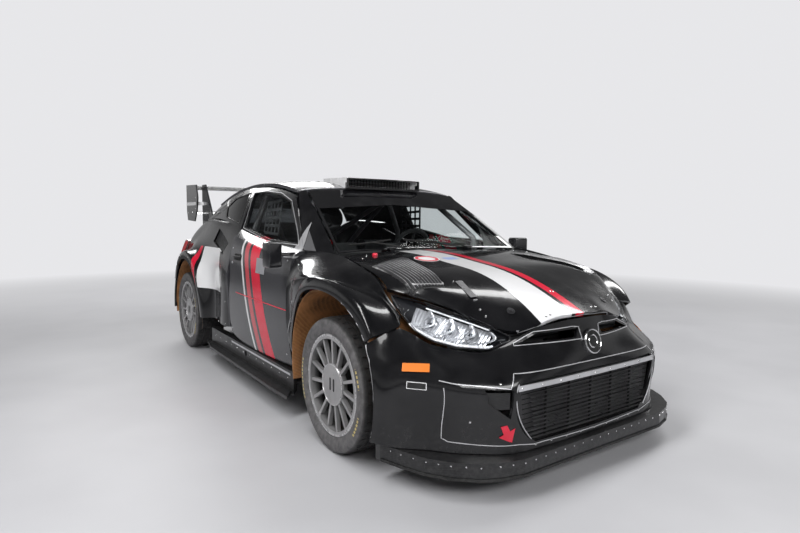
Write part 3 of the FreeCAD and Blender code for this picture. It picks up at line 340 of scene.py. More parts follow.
class Look:
    """Anything with a name that makes one material."""

    name: str

    def make(self) -> Material:
        """Make the material."""
        raise NotImplementedError

    def build(self) -> Material:
        """The material, made the first time it is asked for."""
        return bpy.data.materials.get(self.name) or self.make()


@dataclass(frozen=True)
class Finish(Look):
    """A plain procedural finish: colour drift, fine grain, dust low down.

    Fields:
        name: the material's name.
        colour: its main colour.
        rough: its roughness.
        metal: 1 for bare metal.
        coat: weight of a clear coat.
        grain: grain features for each metre.
        relief: depth of the grain, in metres.
        drift: how far the colour drifts, from 0 to 1.
        dust: how much dust lies low on the car.
        glint: level of the plain reflection under any coat.
    """

    name: str
    colour: Colour
    rough: float = 0.5
    metal: float = 0.0
    coat: float = 0.0
    grain: float = 400.0
    relief: float = 0.0001
    drift: float = 0.25
    dust: float = 0.15
    glint: float = 0.5

    def tint(self, graph: Graph) -> Wire:
        """The colour over the surface."""
        cloud = graph.noise(9.0, 4.0)
        dark = tuple(c * (1 - self.drift) for c in self.colour)
        light = tuple(min(1.0, c * (1 + self.drift) + 0.004) for c in self.colour)
        return graph.blend(cloud.ramp(0.35, 0.65), dark, light)

    def heights(self, graph: Graph) -> Wire:
        """The relief over the surface, from 0 to 1."""
        return graph.noise(self.grain, 2.0)

    def gloss(self, graph: Graph) -> Wire:
        """The roughness over the surface."""
        smear = graph.noise(24.0, 5.0, rough=0.65)
        return smear.ramp(0.3, 0.7) * (self.rough * 0.35) + self.rough * 0.82

    def make(self) -> Material:
        """Make the material."""
        graph = Graph(self.name)
        _, _, z = graph.axes()
        low = z.ramp(0.55, 0.05) * graph.noise(60.0, 4.0).ramp(0.42, 0.75) * self.dust
        colour = graph.blend(low, self.tint(graph), (0.16, 0.155, 0.15))
        shader = graph.surface(
            Base_Color=colour, Roughness=self.gloss(graph), Metallic=self.metal,
                               Coat_Weight=self.coat,
            Coat_Roughness=0.04, Specular_IOR_Level=self.glint,
                               Normal=graph.bump(self.heights(graph), self.relief),
        )
        return graph.finish(shader)


@dataclass(frozen=True)
class Weave(Finish):
    """A twill composite: two sets of tows that cross at right angles.

    Fields:
        tows: tows for each metre.
        contrast: how much lighter one set of tows is.
    """

    tows: float = 420.0
    contrast: float = 0.5

    def pattern(self, graph: Graph) -> Wire:
        """0 on one set of tows and 1 on the other."""
        x, y, z = graph.axes()
        across = (x + z) * self.tows
        along = (y + z * 0.5) * self.tows
        step = across.maths("FLOOR") + along.maths("FLOOR")
        return (step * 0.25).maths("FRACT").ramp(0.45, 0.55)

    def tint(self, graph: Graph) -> Wire:
        """The tows' two tones over the plain drift."""
        light = tuple(min(1.0, c * (1 + self.contrast) + 0.003) for c in self.colour)
        return graph.blend(self.pattern(graph) * 0.6, Finish.tint(self, graph), light)

    def heights(self, graph: Graph) -> Wire:
        """The tows stand a little over each other."""
        return self.pattern(graph) * 0.6 + graph.noise(self.grain, 2.0) * 0.4


@dataclass(frozen=True)
class ArchLining(Weave):
    """Woven liner, bare towards the wheel and black on the hidden side of the rear band.

    Fields:
        inner, outer: distances from the rear axle between which it turns black.
    """

    inner: float = 0.4298
    outer: float = 0.4312

    def tint(self, graph: Graph) -> Wire:
        """Bare weave near the rear wheel, black further from its axle."""
        _, y, z = graph.axes()
        along, up = y - REAR_AXLE, z - WHEEL_LEVEL
        reach = (along * along + up * up).maths("SQRT")
        back = y.ramp(0.55, 0.56)
        return graph.blend(reach.ramp(self.inner, self.outer) * back, Weave.tint(self, graph),
                           BLACK)


@dataclass(frozen=True)
class Brushed(Finish):
    """Machined or brushed metal, with lines round or along one axis.

    Fields:
        lines: how the grain is drawn out along each axis.
    """

    lines: Point3 = (1.0, 30.0, 30.0)

    def heights(self, graph: Graph) -> Wire:
        """Fine lines."""
        return graph.noise(60.0, 3.0, self.lines)


class Plane(Enum):
    """The flat view that a painted outline is drawn on."""

    PLAN = "plan"
    SIDE = "side"
    FRONT = "front"


@dataclass(frozen=True)
class Patch:
    """One painted shape.

    Fields:
        plane: the view it is drawn on.
        corners: convex outline: (offset, station), (station, level) or (offset, level) in mm.
        colour: its paint.
        mirror: True to paint it on both sides of the car.
    """

    plane: Plane
    corners: tuple[Point2, ...]
    colour: Colour
    mirror: bool = False

    def metres(self) -> list[Point2]:
        """The corners in the car's metres."""
        if self.plane is Plane.PLAN:
            return [(u / 1000, run(v)) for u, v in self.corners]
        if self.plane is Plane.SIDE:
            return [(run(u), v / 1000) for u, v in self.corners]
        return [(u / 1000, v / 1000) for u, v in self.corners]


@dataclass(frozen=True)
class Livery(Finish):
    """Gloss paint with cut vinyl shapes; some shapes are painted reflections, highlights or shade.

    Fields:
        shapes: the shapes, later ones on top.
    """

    shapes: tuple[Patch, ...] = ()

    def tint(self, graph: Graph) -> Wire:
        """The base paint under the shapes."""
        x, y, z = graph.axes()
        colour = Finish.tint(self, graph)
        planes: dict = {}
        for shape in self.shapes:
            key = (shape.plane, shape.mirror)
            if key not in planes:
                across = abs(x) if shape.mirror else x
                planes[key] = {
                    Plane.PLAN: lambda: graph.join(across, y, 1.0),
                    Plane.SIDE: lambda: graph.join(y, z, 1.0),
                    Plane.FRONT: lambda: graph.join(across, z, 1.0),
                }[shape.plane]()
            mask = graph.patch(planes[key], shape.metres())
            colour = graph.blend(mask, colour, shape.colour)
        return colour

    def gloss(self, graph: Graph) -> Wire:
        """Wiping marks and dust in the gloss."""
        smear = graph.noise(11.0, 6.0, (1.0, 1.0, 1.0), 0.6)
        return smear.ramp(0.35, 0.75) * 0.10 + self.rough


@dataclass(frozen=True)
class Pane(Look):
    """Window glass that lets the cabin show.

    Fields:
        name: the material's name.
        tint: the colour of light through it.
        solid: share of the dark coat that hides what is behind, away from the border.
        border: convex clear area in a flat view, outside which the pane is black.
        plane: the view of that area.
    """

    name: str
    tint: Colour = (0.62, 0.65, 0.66)
    solid: float = 0.06
    border: tuple[Point2, ...] = ()
    plane: Plane = Plane.FRONT

    def make(self) -> Material:
        """Make the material."""
        graph = Graph(self.name)
        smudge = graph.noise(7.0, 5.0, (1.0, 1.0, 1.0), 0.6).ramp(0.5, 0.9)
        fine = graph.noise(160.0, 2.0).ramp(0.66, 0.76)
        body = graph.surface(
            Base_Color=graph.blend(smudge, (0.006, 0.006, 0.007), (0.03, 0.03, 0.032)),
            Roughness=smudge * 0.05 + 0.015, Coat_Weight=1.0, Coat_Roughness=0.01,
        )
        clear = graph.node("ShaderNodeBsdfTransparent", None, {"Color": self.tint})
        slant = graph.node("ShaderNodeLayerWeight", None, {"Blend": 0.5}, out="Facing")
        share = slant.power(5.0) * 0.8 + smudge * 0.02 + fine * 0.012 + self.solid
        if self.border:
            x, y, z = graph.axes()
            plane = graph.join(x, z, 1.0) if self.plane is Plane.FRONT else graph.join(y, z, 1.0)
            shape = Patch(self.plane, self.border, BLACK)
            share = share.most(1.0 - graph.patch(plane, shape.metres(), 0.004))
        mixed = graph.node("ShaderNodeMixShader", None,
                           {0: share.maths("MINIMUM", 1.0), 1: clear, 2: body})
        return graph.finish(mixed)


@dataclass(frozen=True)
class Rubber(Finish):
    """A tyre: dull sidewall with raised rings and moulded dashes, scrubbed tread.

    Fields:
        axle: the wheel's lengthwise place.
        height: the wheel's height.
        radius: the tread's radius.
    """

    axle: float = 0.0
    height: float = 0.32
    radius: float = 0.3225

    def polar(self, graph: Graph) -> tuple[Wire, Wire]:
        """Distance from the wheel's centre and turns round it."""
        _, y, z = graph.axes()
        away, up = y - self.axle, z - self.height
        reach = (away * away + up * up).maths("SQRT")
        return reach, up.maths("ARCTAN2", away) / (2 * math.pi)

    def tint(self, graph: Graph) -> Wire:
        """Rubber, lighter on the sidewall for dust and painted sheen, with two short runs of pale
        dashes.
        """
        reach, turn = self.polar(graph)
        # painted sheen: the sidewall is coloured lighter than the tread, partly for dust and partly
        # for the sheen of light on it
        wall = reach.ramp(self.radius - 0.004, self.radius - 0.012)
        worn = graph.noise(40.0, 5.0).ramp(0.35, 0.7)
        base = graph.blend(worn, (0.012, 0.012, 0.013), (0.030, 0.029, 0.029))
        side = graph.blend(worn, (0.085, 0.082, 0.084), (0.15, 0.145, 0.148))
        colour = graph.blend(wall, base, side)
        band = reach.ramp(0.281, 0.2815) * reach.ramp(0.2925, 0.292)
        dashes = (turn * 90.0).maths("FRACT").ramp(0.28,
                                                   0.32) * (turn
                                                            * 90.0).maths("FRACT").ramp(0.95, 0.9)
        for start, stop in ((-0.075, 0.045), (0.42, 0.47), (-0.46, -0.40)):
            run_of = turn.ramp(start, start + 0.002) * turn.ramp(stop + 0.002, stop)
            colour = graph.blend(band * dashes * run_of * 0.8, colour, (0.72, 0.58, 0.20))
        return colour

    def heights(self, graph: Graph) -> Wire:
        """Rings on the sidewall and a fine grain."""
        reach, _ = self.polar(graph)
        return reach.wave(210.0) * 0.22 + graph.noise(700.0, 2.0) * 0.5


@dataclass(frozen=True)
class RimPaint(Finish):
    """Wheel paint that turns near black deep inside the rim, as painted shade.

    Fields:
        face: distance from the middle of the car where the face without painted shade begins, in
            metres.
    """

    face: float = 0.885

    def tint(self, graph: Graph) -> Wire:
        """Plain paint outside and painted shade inside."""
        x, _, _ = graph.axes()
        # painted shade: inboard of the face the paint turns near black, with a ragged edge
        unshaded_face = (abs(x) + graph.noise(30.0, 3.0) * 0.008).ramp(self.face - 0.030, self.face)
        return graph.blend(unshaded_face, (0.022, 0.021, 0.020), Finish.tint(self, graph))


@dataclass(frozen=True)
class Honeycomb(Finish):
    """A dark sheet with rows of six-sided holes, or fine fins, drawn in a flat view.

    Fields:
        plane: the view the cells are drawn on.
        cell: width of one cell, in metres.
    """

    plane: Plane = Plane.FRONT
    cell: float = 0.018

    def cells(self, graph: Graph) -> Wire:
        """0 in the holes and 1 on the walls between them."""
        x, y, z = graph.axes()
        u, v = {Plane.FRONT: (x, z), Plane.SIDE: (y, z), Plane.PLAN: (x, y)}[self.plane]
        u, v = u / self.cell, v / (self.cell * 1.732)
        spots = []
        for shift in (0.0, 0.5):
            du = abs((u + shift).maths("FRACT") - 0.5)
            dv = abs((v + shift).maths("FRACT") - 0.5) * 1.732
            spots.append((du.most(du * 0.5 + dv * 0.866)))
        return spots[0].least(spots[1]).ramp(0.36, 0.42)

    def tint(self, graph: Graph) -> Wire:
        """Near-black holes, painted shade for the space behind the mesh, and dark walls."""
        # painted shade: the holes are coloured near black instead of being open
        return graph.blend(self.cells(graph), (0.002, 0.002, 0.002), self.colour)

    def heights(self, graph: Graph) -> Wire:
        """Walls stand over the holes."""
        return self.cells(graph)


@dataclass(frozen=True)
class Core(Finish):
    """A cooler's face: fine level fins with darker rows of tubes."""

    def tint(self, graph: Graph) -> Wire:
        """Fins and tubes."""
        x, _, z = graph.axes()
        fins = (z / 0.0042).maths("FRACT").ramp(0.35, 0.65)
        tubes = (z / 0.021).maths("FRACT").ramp(0.78, 0.86)
        gills = (x / 0.006).maths("FRACT").ramp(0.3, 0.6)
        fine = graph.blend(fins * 0.7 + gills * 0.3, (0.010, 0.010, 0.011), self.colour)
        return graph.blend(tubes, fine, (0.004, 0.004, 0.004))

    def heights(self, graph: Graph) -> Wire:
        """Fins in relief."""
        _, _, z = graph.axes()
        return (z / 0.0042).maths("FRACT").ramp(0.2, 0.8)


@dataclass(frozen=True)
class Cloth(Finish):
    """Woven seat cloth.

    Fields:
        threads: threads for each metre.
    """

    threads: float = 900.0

    def heights(self, graph: Graph) -> Wire:
        """Over-and-under threads."""
        x, y, z = graph.axes()
        warp = (x + z * 0.3).wave(self.threads)
        weft = (y + z * 0.7).wave(self.threads)
        return (warp * weft) * 0.5 + 0.5

    def make(self) -> Material:
        """Make the material with a little sheen."""
        graph = Graph(self.name)
        shader = graph.surface(
            Base_Color=self.tint(graph), Roughness=self.gloss(graph), Sheen_Weight=0.3,
                               Sheen_Roughness=0.4,
            Normal=graph.bump(self.heights(graph), self.relief),
        )
        return graph.finish(shader)


@dataclass(frozen=True)
class Glow(Finish):
    """Lamp parts that shine a little.

    Fields:
        light: strength of the glow.
    """

    light: float = 0.6

    def make(self) -> Material:
        """Make the material."""
        graph = Graph(self.name)
        sparkle = graph.noise(140.0, 2.0).ramp(0.4, 0.6)
        shader = graph.surface(
            Base_Color=self.tint(graph), Roughness=self.gloss(graph), Metallic=self.metal,
            Emission_Color=graph.blend(sparkle, tuple(c * 0.35 for c in self.colour), self.colour),
            Emission_Strength=self.light, Normal=graph.bump(self.heights(graph), self.relief),
        )
        return graph.finish(shader)


# ------------------------------------------------------------------ modelling tools

class Skin:
    """The faces of some CAD nodes, for laying pieces on them."""

    def __init__(self, *names: str) -> None:
        """Gather the nodes' faces.

        Args:
            names: the CAD nodes.
        """
        spots: list[Vector] = []
        faces: list[tuple[int, ...]] = []
        for name in names:
            mesh = NODES[name].data
            start = len(spots)
            spots += [v.co.copy() for v in mesh.vertices]
            faces += [tuple(start + i for i in p.vertices) for p in mesh.polygons]
        self.tree = BVHTree.FromPolygons(spots, faces)

    def near(self, spot: Vector) -> tuple[Vector, Vector]:
        """The closest point of the faces and the normal there."""
        place, normal, _, _ = self.tree.find_nearest(spot)
        return place, normal

    def cast(self, spot: Vector, way: Vector) -> tuple[Vector, Vector]:
        """The first face met from far off along a direction, or the closest point."""
        way = way.normalized()
        place, normal, _, _ = self.tree.ray_cast(spot - way * 0.6, way, 1.4)
        if place is None:
            return self.near(spot)
        return place, normal


class Bench:
    """Modelling steps. Each one starts with nothing selected and leaves its piece settled."""

    @staticmethod
    def clear() -> None:
        """Leave edit mode and select nothing."""
        active = bpy.context.view_layer.objects.active
        if active is not None and active.mode != "OBJECT":
            bpy.ops.object.mode_set(mode="OBJECT")
        bpy.ops.object.select_all(action="DESELECT")

    @staticmethod
    def settle(name: str) -> bpy.types.Object:
        """Name the active piece and put its place, turn and scale into its mesh."""
        piece = bpy.context.view_layer.objects.active
        bpy.ops.object.transform_apply(location=True, rotation=True, scale=True)
        piece.name = name
        piece.data.name = name
        return piece

    @staticmethod
    def modify(piece: bpy.types.Object, kind: str, **settings: Any) -> None:
        """Add a modifier, set it and apply it.

        Args:
            piece: the piece.
            kind: the modifier's type.
            settings: its properties.
        """
        bpy.context.view_layer.objects.active = piece
        step = piece.modifiers.new(kind.lower(), kind)
        for key, value in settings.items():
            setattr(step, key, value)
        bpy.ops.object.modifier_apply(modifier=step.name)

    @classmethod
    def bevel(cls, piece: bpy.types.Object, width: float, segments: int = 2) -> None:
        """Round the piece's sharp edges."""
        if width > 0:
            cls.modify(piece, "BEVEL", width=width, segments=segments, limit_method="ANGLE",
                       angle_limit=math.radians(32))

    @classmethod
    def block(cls, name: str, low: Vector, high: Vector, bevel: float = 0.0015,
              segments: int = 2) -> bpy.types.Object:
        """A rounded box between two corners.

        Args:
            name: the piece's name.
            low: one corner.
            high: the opposite corner.
            bevel: radius of its edges.
            segments: facets round each edge.

        Returns:
            The piece.
        """
        cls.clear()
        bpy.ops.mesh.primitive_cube_add(size=1, location=(low + high) / 2,
                                        scale=[abs(b - a) for a, b in zip(low, high)])
        piece = cls.settle(name)
        cls.bevel(piece, bevel, segments)
        return piece

    @classmethod
    def rod(cls, name: str, start: Vector, end: Vector, radius: float, sides: int = 20,
            bevel: float = 0.0,
            tip: Optional[float] = None) -> bpy.types.Object:
        """A round bar, or a cone with tip as its far radius.

        Args:
            name: the piece's name.
            start: centre of one end.
            end: centre of the other end.
            radius: its radius.
            sides: its facets.
            bevel: radius of its end edges.
            tip: radius at the far end.

        Returns:
            The piece.
        """
        cls.clear()
        line = end - start
        turn = UP.rotation_difference(line.normalized()).to_euler()
        bpy.ops.mesh.primitive_cone_add(
            vertices=sides, radius1=radius, radius2=radius if tip is None else tip,
                                        depth=line.length,
            location=(start + end) / 2, rotation=turn,
        )
        piece = cls.settle(name)
        cls.bevel(piece, bevel)
        return piece

    @classmethod
    def prism(cls, name: str, outline: Sequence[Vector], push: Vector,
              bevel: float = 0.001) -> bpy.types.Object:
        """An outline pushed through to make a solid.

        Args:
            name: the piece's name.
            outline: its corners in order.
            push: how far and which way it is pushed.
            bevel: radius of its edges.

        Returns:
            The piece.
        """
        cls.clear()
        bpy.ops.mesh.primitive_circle_add(vertices=len(outline), fill_type="NGON")
        piece = bpy.context.view_layer.objects.active
        for vertex, spot in zip(piece.data.vertices, outline):
            vertex.co = spot
        bpy.ops.object.mode_set(mode="EDIT")
        bpy.ops.mesh.select_all(action="SELECT")
        bpy.ops.mesh.extrude_region_move(TRANSFORM_OT_translate={"value": push})
        bpy.ops.mesh.select_all(action="SELECT")
        bpy.ops.mesh.normals_make_consistent(inside=False)
        bpy.ops.object.mode_set(mode="OBJECT")
        piece = cls.settle(name)
        cls.bevel(piece, bevel)
        return piece

    @classmethod
    def sheet(cls, name: str, rows: Sequence[Sequence[Vector]], wall: float = 0.0, levels: int = 0,
              bevel: float = 0.0) -> bpy.types.Object:
        """A sheet through a grid of points.

        Args:
            name: the piece's name.
            rows: rows of points, all the same length.
            wall: its thickness, against its normal (negative for the other way).
            levels: rounds of subdivision.
            bevel: radius of its edges.

        Returns:
            The piece.
        """
        cls.clear()
        bpy.ops.mesh.primitive_grid_add(x_subdivisions=len(rows[0]) - 1,
                                        y_subdivisions=len(rows) - 1)
        piece = bpy.context.view_layer.objects.active
        flat = [spot for row in rows for spot in row]
        for vertex, spot in zip(piece.data.vertices, flat):
            vertex.co = spot
        piece = cls.settle(name)
        if levels:
            cls.modify(piece, "SUBSURF", levels=levels, render_levels=levels)
        if wall:
            cls.modify(piece, "SOLIDIFY", thickness=wall, offset=-1.0, use_even_offset=True)
        cls.bevel(piece, bevel)
        return piece

    @classmethod
    def turned(cls, name: str, profile: Sequence[tuple[float, float]], centre: Vector, axis: Vector,
               steps: int,
               closed: bool = True) -> bpy.types.Object:
        """A closed profile spun round an axis.

        Args:
            name: the piece's name.
            profile: points as (distance along the axis, radius).
            centre: a point on the axis.
            axis: its direction.
            steps: facets round it.
            closed: True when the profile is a loop that does not meet the axis.

        Returns:
            The piece.
        """
        cls.clear()
        axis = axis.normalized()
        side = axis.orthogonal().normalized()
        bpy.ops.mesh.primitive_circle_add(vertices=len(profile), fill_type="NOTHING")
        piece = bpy.context.view_layer.objects.active
        for vertex, (along, radius) in zip(piece.data.vertices, profile):
            vertex.co = centre + axis * along + side * radius
        bpy.ops.object.mode_set(mode="EDIT")
        bpy.ops.mesh.select_all(action="SELECT")
        if not closed:
            piece_mesh = bmesh.from_edit_mesh(piece.data)
            piece_mesh.verts.ensure_lookup_table()
            last = [e
                    for e in piece_mesh.edges
                    if {v.index for v in e.verts} == {0, len(profile) - 1}]
            bmesh.ops.delete(piece_mesh, geom=last, context="EDGES_FACES")
            bmesh.update_edit_mesh(piece.data)
            bpy.ops.mesh.select_all(action="SELECT")
        bpy.ops.mesh.spin(steps=steps, angle=2 * math.pi, center=centre, axis=axis)
        bpy.ops.mesh.select_all(action="SELECT")
        bpy.ops.mesh.remove_doubles(threshold=1e-5)
        bpy.ops.mesh.normals_make_consistent(inside=False)
        bpy.ops.object.mode_set(mode="OBJECT")
        return cls.settle(name)

    @classmethod
    def pipe(cls, name: str, points: Sequence[Vector], radius: float, closed: bool = False,
             smooth: bool = True,
             facets: int = 3) -> bpy.types.Object:
        """A round tube along points.

        Args:
            name: the piece's name.
            points: the points it follows.
            radius: its radius.
            closed: True for a ring.
            smooth: True for a smooth run, False for straight runs.
            facets: roundness of the tube.

        Returns:
            The piece, as a mesh.
        """
        cls.clear()
        bpy.ops.curve.primitive_nurbs_path_add()
        piece = bpy.context.view_layer.objects.active
        piece.data.splines.clear()
        line = piece.data.splines.new("NURBS" if smooth else "POLY")
        line.points.add(len(points) - 1)
        for target, spot in zip(line.points, points):
            target.co = (*spot, 1.0)
        if smooth:
            line.order_u = 3
            line.use_endpoint_u = not closed
            line.resolution_u = 5
        line.use_cyclic_u = closed
        piece.data.bevel_depth = radius
        piece.data.bevel_resolution = facets
        piece.data.use_fill_caps = True
        piece.select_set(True)
        bpy.ops.object.convert(target="MESH")
        return cls.settle(name)

    @classmethod
    def join(cls, name: str, pieces: Sequence[bpy.types.Object]) -> bpy.types.Object:
        """Several pieces as one."""
        cls.clear()
        for piece in pieces:
            piece.select_set(True)
        bpy.context.view_layer.objects.active = pieces[0]
        if len(pieces) > 1:
            bpy.ops.object.join()
        return cls.settle(name)

    @classmethod
    def copies(cls, name: str, model: bpy.types.Object,
               places: Iterable[tuple[Vector, Vector]]) -> bpy.types.Object:
        """Copies of a small model, which stands on the origin along +Z, set on places.

        Args:
            name: the joined piece's name.
            model: the small model, which is used up.
            places: (place, normal) pairs, each copy standing along its normal.

        Returns:
            The joined piece.
        """
        made = []
        for place, normal in places:
            twin = model.copy()
            twin.data = model.data.copy()
            bpy.context.scene.collection.objects.link(twin)
            turn = UP.rotation_difference(normal.normalized()).to_matrix().to_4x4()
            twin.data.transform(Matrix.Translation(place) @ turn)
            made.append(twin)
        bpy.data.objects.remove(model)
        return cls.join(name, made)

    @classmethod
    def stud(cls, radius: float, height: float, sides: int = 10) -> bpy.types.Object:
        """A small domed fastener head that stands on the origin."""
        piece = cls.rod("stud", Vector((0, 0, -height * 0.5)), Vector((0, 0, height)), radius,
                        sides, 0.0, radius * 0.8)
        bpy.ops.object.mode_set(mode="EDIT")
        mesh = bmesh.from_edit_mesh(piece.data)
        for face in mesh.faces:
            face.select = face.normal.z > 0.9
        bmesh.update_edit_mesh(piece.data)
        bpy.ops.mesh.inset(thickness=radius * 0.32, depth=height * 0.35)
        bpy.ops.object.mode_set(mode="OBJECT")
        return piece

    @classmethod
    def ribbon(cls, name: str, skin: Skin, path: Sequence[Vector], width: float,
               way: Optional[Vector] = None,
               step: float = 0.012, lift: float = 0.0003, wall: float = 0.0010) -> bpy.types.Object:
        """A flat strip laid on some faces along a path.

        Args:
            name: the piece's name.
            skin: the faces.
            path: corners of the path.
            width: the strip's width.
            way: direction to drop the path onto the faces, or None for the closest point.
            step: longest run between two rows of the strip.
            lift: gap under it.
            wall: its thickness.

        Returns:
            The piece.
        """
        spots: list[Vector] = []
        for a, b in zip(path, path[1:]):
            count = max(1, round((b - a).length / step))
            spots += [a.lerp(b, i / count) for i in range(count)]
        spots.append(path[-1])
        laid = [skin.cast(p, way) if way is not None else skin.near(p) for p in spots]
        rows: list[list[Vector]] = [[], []]
        for i, (place, normal) in enumerate(laid):
            ahead = laid[min(i + 1, len(laid) - 1)][0] - laid[max(i - 1, 0)][0]
            side = ahead.cross(normal)
            side = side.normalized() if side.length > 1e-9 else LEFTWARD
            for row, sign in zip(rows, (-1, 1)):
                edge = place + side * (sign * width / 2)
                on_skin, out = skin.near(edge)
                row.append(on_skin + out * (lift + wall))
        piece = cls.sheet(name, rows, wall=wall)
        return piece


class Fitter:
    """Hangs finished pieces on the car's bodies."""

    made: int = 0

    @classmethod
    def fit(cls, piece: bpy.types.Object, body: str, finish: Material, slot: str,
            stands_for: Sequence[str] = (), angle: float = 35.0) -> bpy.types.Object:
        """Dress a piece and hang it on a body.

        Args:
            piece: the piece.
            body: the body that it rides on.
            finish: its material.
            slot: not used.
            stands_for: CAD nodes that it replaces.
            angle: edges flatter than this, in degrees, are shaded smooth.

        Returns:
            The piece.
        """
        Bench.clear()
        piece.data.materials.clear()
        piece.data.materials.append(finish)
        piece.select_set(True)
        bpy.context.view_layer.objects.active = piece
        bpy.ops.object.shade_smooth_by_angle(angle=math.radians(angle))
        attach(piece, body)
        if stands_for:
            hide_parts(*stands_for)
        cls.made += 1
        LOG.info("%s on %s: %d faces", piece.name, body, len(piece.data.polygons))
        return piece

    @staticmethod
    def dress(material: Material, *names: str) -> None:
        """Give CAD nodes a material."""
        for name in names:
            node = NODES[name]
            if not node.material_slots:
                node.data.materials.append(material)
            for place in node.material_slots:
                place.link = "OBJECT"
                place.material = material


# ------------------------------------------------------------------ the car's finishes

def both(shapes: Iterable[tuple[Colour, tuple[Point2, ...]]], plane: Plane,
         mirror: bool = True) -> tuple[Patch, ...]:
    """Painted shapes from (colour, corners) rows on one view."""
    return tuple(Patch(plane, corners, colour, mirror) for colour, corners in shapes)


def leaning(start: float, width: float, low: float, high: float) -> tuple[Point2, ...]:
    """A straight stripe on the side that leans back as it rises.

    Args:
        start: station of its lower front corner.
        width: its width along the car.
        low: level of its foot.
        high: level of its top.

    Returns:
        Its corners.
    """
    lean = (high - low) * STRIPE_LEAN
    return (start, low), (start + width, low), (start + width + lean, high), (start + lean, high)


def lengthwise(left: float, right: float) -> tuple[Point2, ...]:
    """A straight stripe along the whole bonnet between two offsets."""
    return (left, NOSE_END), (right, NOSE_END), (right, SCREEN_END), (left, SCREEN_END)


STRIPE_LEAN = 0.4
NOSE_END, SCREEN_END = -900, 600
SILL, SHOULDER = 250, 990

BONNET_SHAPES = both((
    (WHITE, lengthwise(-250, -80)),
    (RED, lengthwise(-55, -5)),
), Plane.PLAN, mirror=False)

SIDE_SHAPES = both((
    # painted reflection: the grey shape over the door is the pale surround mirrored in the gloss
    # black paint
    (DOOR_REFLECTION_GREY, ((600, SILL), (1630, SILL), (1700, SHOULDER), (570, 930))),
    (RED, leaning(820, 150, SILL, SHOULDER)),
    (ROSE, leaning(1010, 70, SILL, SHOULDER)),
    (WHITE, leaning(1120, 30, SILL, SHOULDER)),
    (WHITE, leaning(1800, 420, 560, 880)),
    (RED, leaning(2260, 60, 560, 880)),
), Plane.SIDE)

SAIL_SHAPES = both((
    (ASH, ((668, 1090), (722, 886), (582, 886), (610, 960))),
    # painted highlight: the mid-grey shape ahead of the pale triangle is the shine on the gloss
    # black paint at the pillar's foot
    (SAIL_FOOT_HIGHLIGHT, ((640, 1040), (570, 886), (420, 893), (520, 960))),
), Plane.SIDE)

PAINT = Livery("black_paint", BLACK, 0.16, coat=0.55, glint=0.25, grain=900.0, relief=0.00002,
               drift=0.15, dust=0.10)
BONNET_PAINT = Livery("bonnet_paint", BLACK, 0.16, coat=0.55, glint=0.25, grain=900.0,
                      relief=0.00002, drift=0.15, dust=0.04,
                      shapes=BONNET_SHAPES)
SIDE_PAINT = Livery("side_paint", BLACK, 0.16, coat=0.55, glint=0.25, grain=900.0, relief=0.00002,
                    drift=0.15, dust=0.10,
                    shapes=SIDE_SHAPES)
SAIL_PAINT = Livery("pillar_paint", BLACK, 0.16, coat=0.55, glint=0.25, grain=900.0, relief=0.00002,
                    drift=0.15, dust=0.05,
                    shapes=SAIL_SHAPES)
DOOR_PAINT = Livery("door_paint", BLACK, 0.16, coat=0.55, glint=0.25, grain=900.0, relief=0.00002,
                    drift=0.15, dust=0.10,
                    shapes=SIDE_SHAPES + SAIL_SHAPES)
WHITE_PAINT = Livery("white_paint", WHITE, 0.22, coat=0.6, grain=900.0, relief=0.00002, drift=0.04,
                     dust=0.0,
                     # painted shade: the two black shapes darken the front of the scoop round and
                     # inside its mouth
                     shapes=both(((BLACK, ((880, 1280), (950, 1280), (950, 1352), (880, 1352))),
                                  (BLACK, ((880, 1340), (926, 1340), (926, 1378), (880, 1378)))),
                                 Plane.SIDE))
ROOF_PAINT = Livery("roof_paint", (0.05, 0.05, 0.056), 0.22, coat=0.6, grain=900.0, relief=0.000005,
                    drift=0.06)
SATIN_CARBON = Weave("satin_composite", (0.012, 0.012, 0.013), 0.36, coat=0.25, glint=0.35,
                     tows=260.0, contrast=0.45, relief=0.00008)
GLOSS_CARBON = Weave("gloss_composite", (0.012, 0.012, 0.014), 0.2, coat=0.8, tows=260.0,
                     contrast=0.5, relief=0.00001)
LINER = ArchLining("woven_liner", (0.30, 0.135, 0.05), 0.5, tows=150.0, contrast=0.5, relief=0.0002,
                   drift=0.45, dust=0.5)
CLEAR = Pane("window_glass", (0.88, 0.90, 0.90), 0.02)
SCREEN = Pane("screen_glass", (0.90, 0.92, 0.92), 0.02,
              ((-648, 934), (648, 934), (588, 1172), (0, 1207), (-588, 1172)))
REAR_SCREEN = Pane("rear_screen_glass", (0.30, 0.31, 0.32), 0.25)
SMOKED = Pane("smoked_glass", (0.06, 0.06, 0.065), 0.55)
LENS = Pane("lamp_lens", (0.93, 0.94, 0.95), 0.01)
RED_LENS = Finish("red_lens", (0.42, 0.008, 0.012), 0.08, coat=1.0, grain=120.0, relief=0.0003,
                  drift=0.3)
MESH = Honeycomb("black_mesh", (0.05, 0.05, 0.052), 0.6, relief=0.002, cell=0.0085)
SIDE_MESH = Honeycomb("side_mesh", (0.05, 0.05, 0.052), 0.6, relief=0.002, cell=0.009,
                      plane=Plane.SIDE)
COOLER = Core("cooler_core", (0.16, 0.16, 0.165), 0.45, metal=0.6, relief=0.0012, dust=0.0)
WHEEL_GREY = RimPaint("satin_grey_wheel", (0.36, 0.355, 0.36), 0.33, metal=0.45, coat=0.25,
                      grain=500.0, relief=0.00004,
                      drift=0.12, dust=0.1)
BRAKES = Brushed("brake_and_hub_metal", (0.12, 0.115, 0.11), 0.5, metal=0.8, relief=0.0001,
                 dust=0.5)
RIM_EDGE = Finish("rim_edge_grey", (0.50, 0.495, 0.50), 0.28, metal=0.5, coat=0.3, grain=500.0,
                  relief=0.00004, drift=0.10)
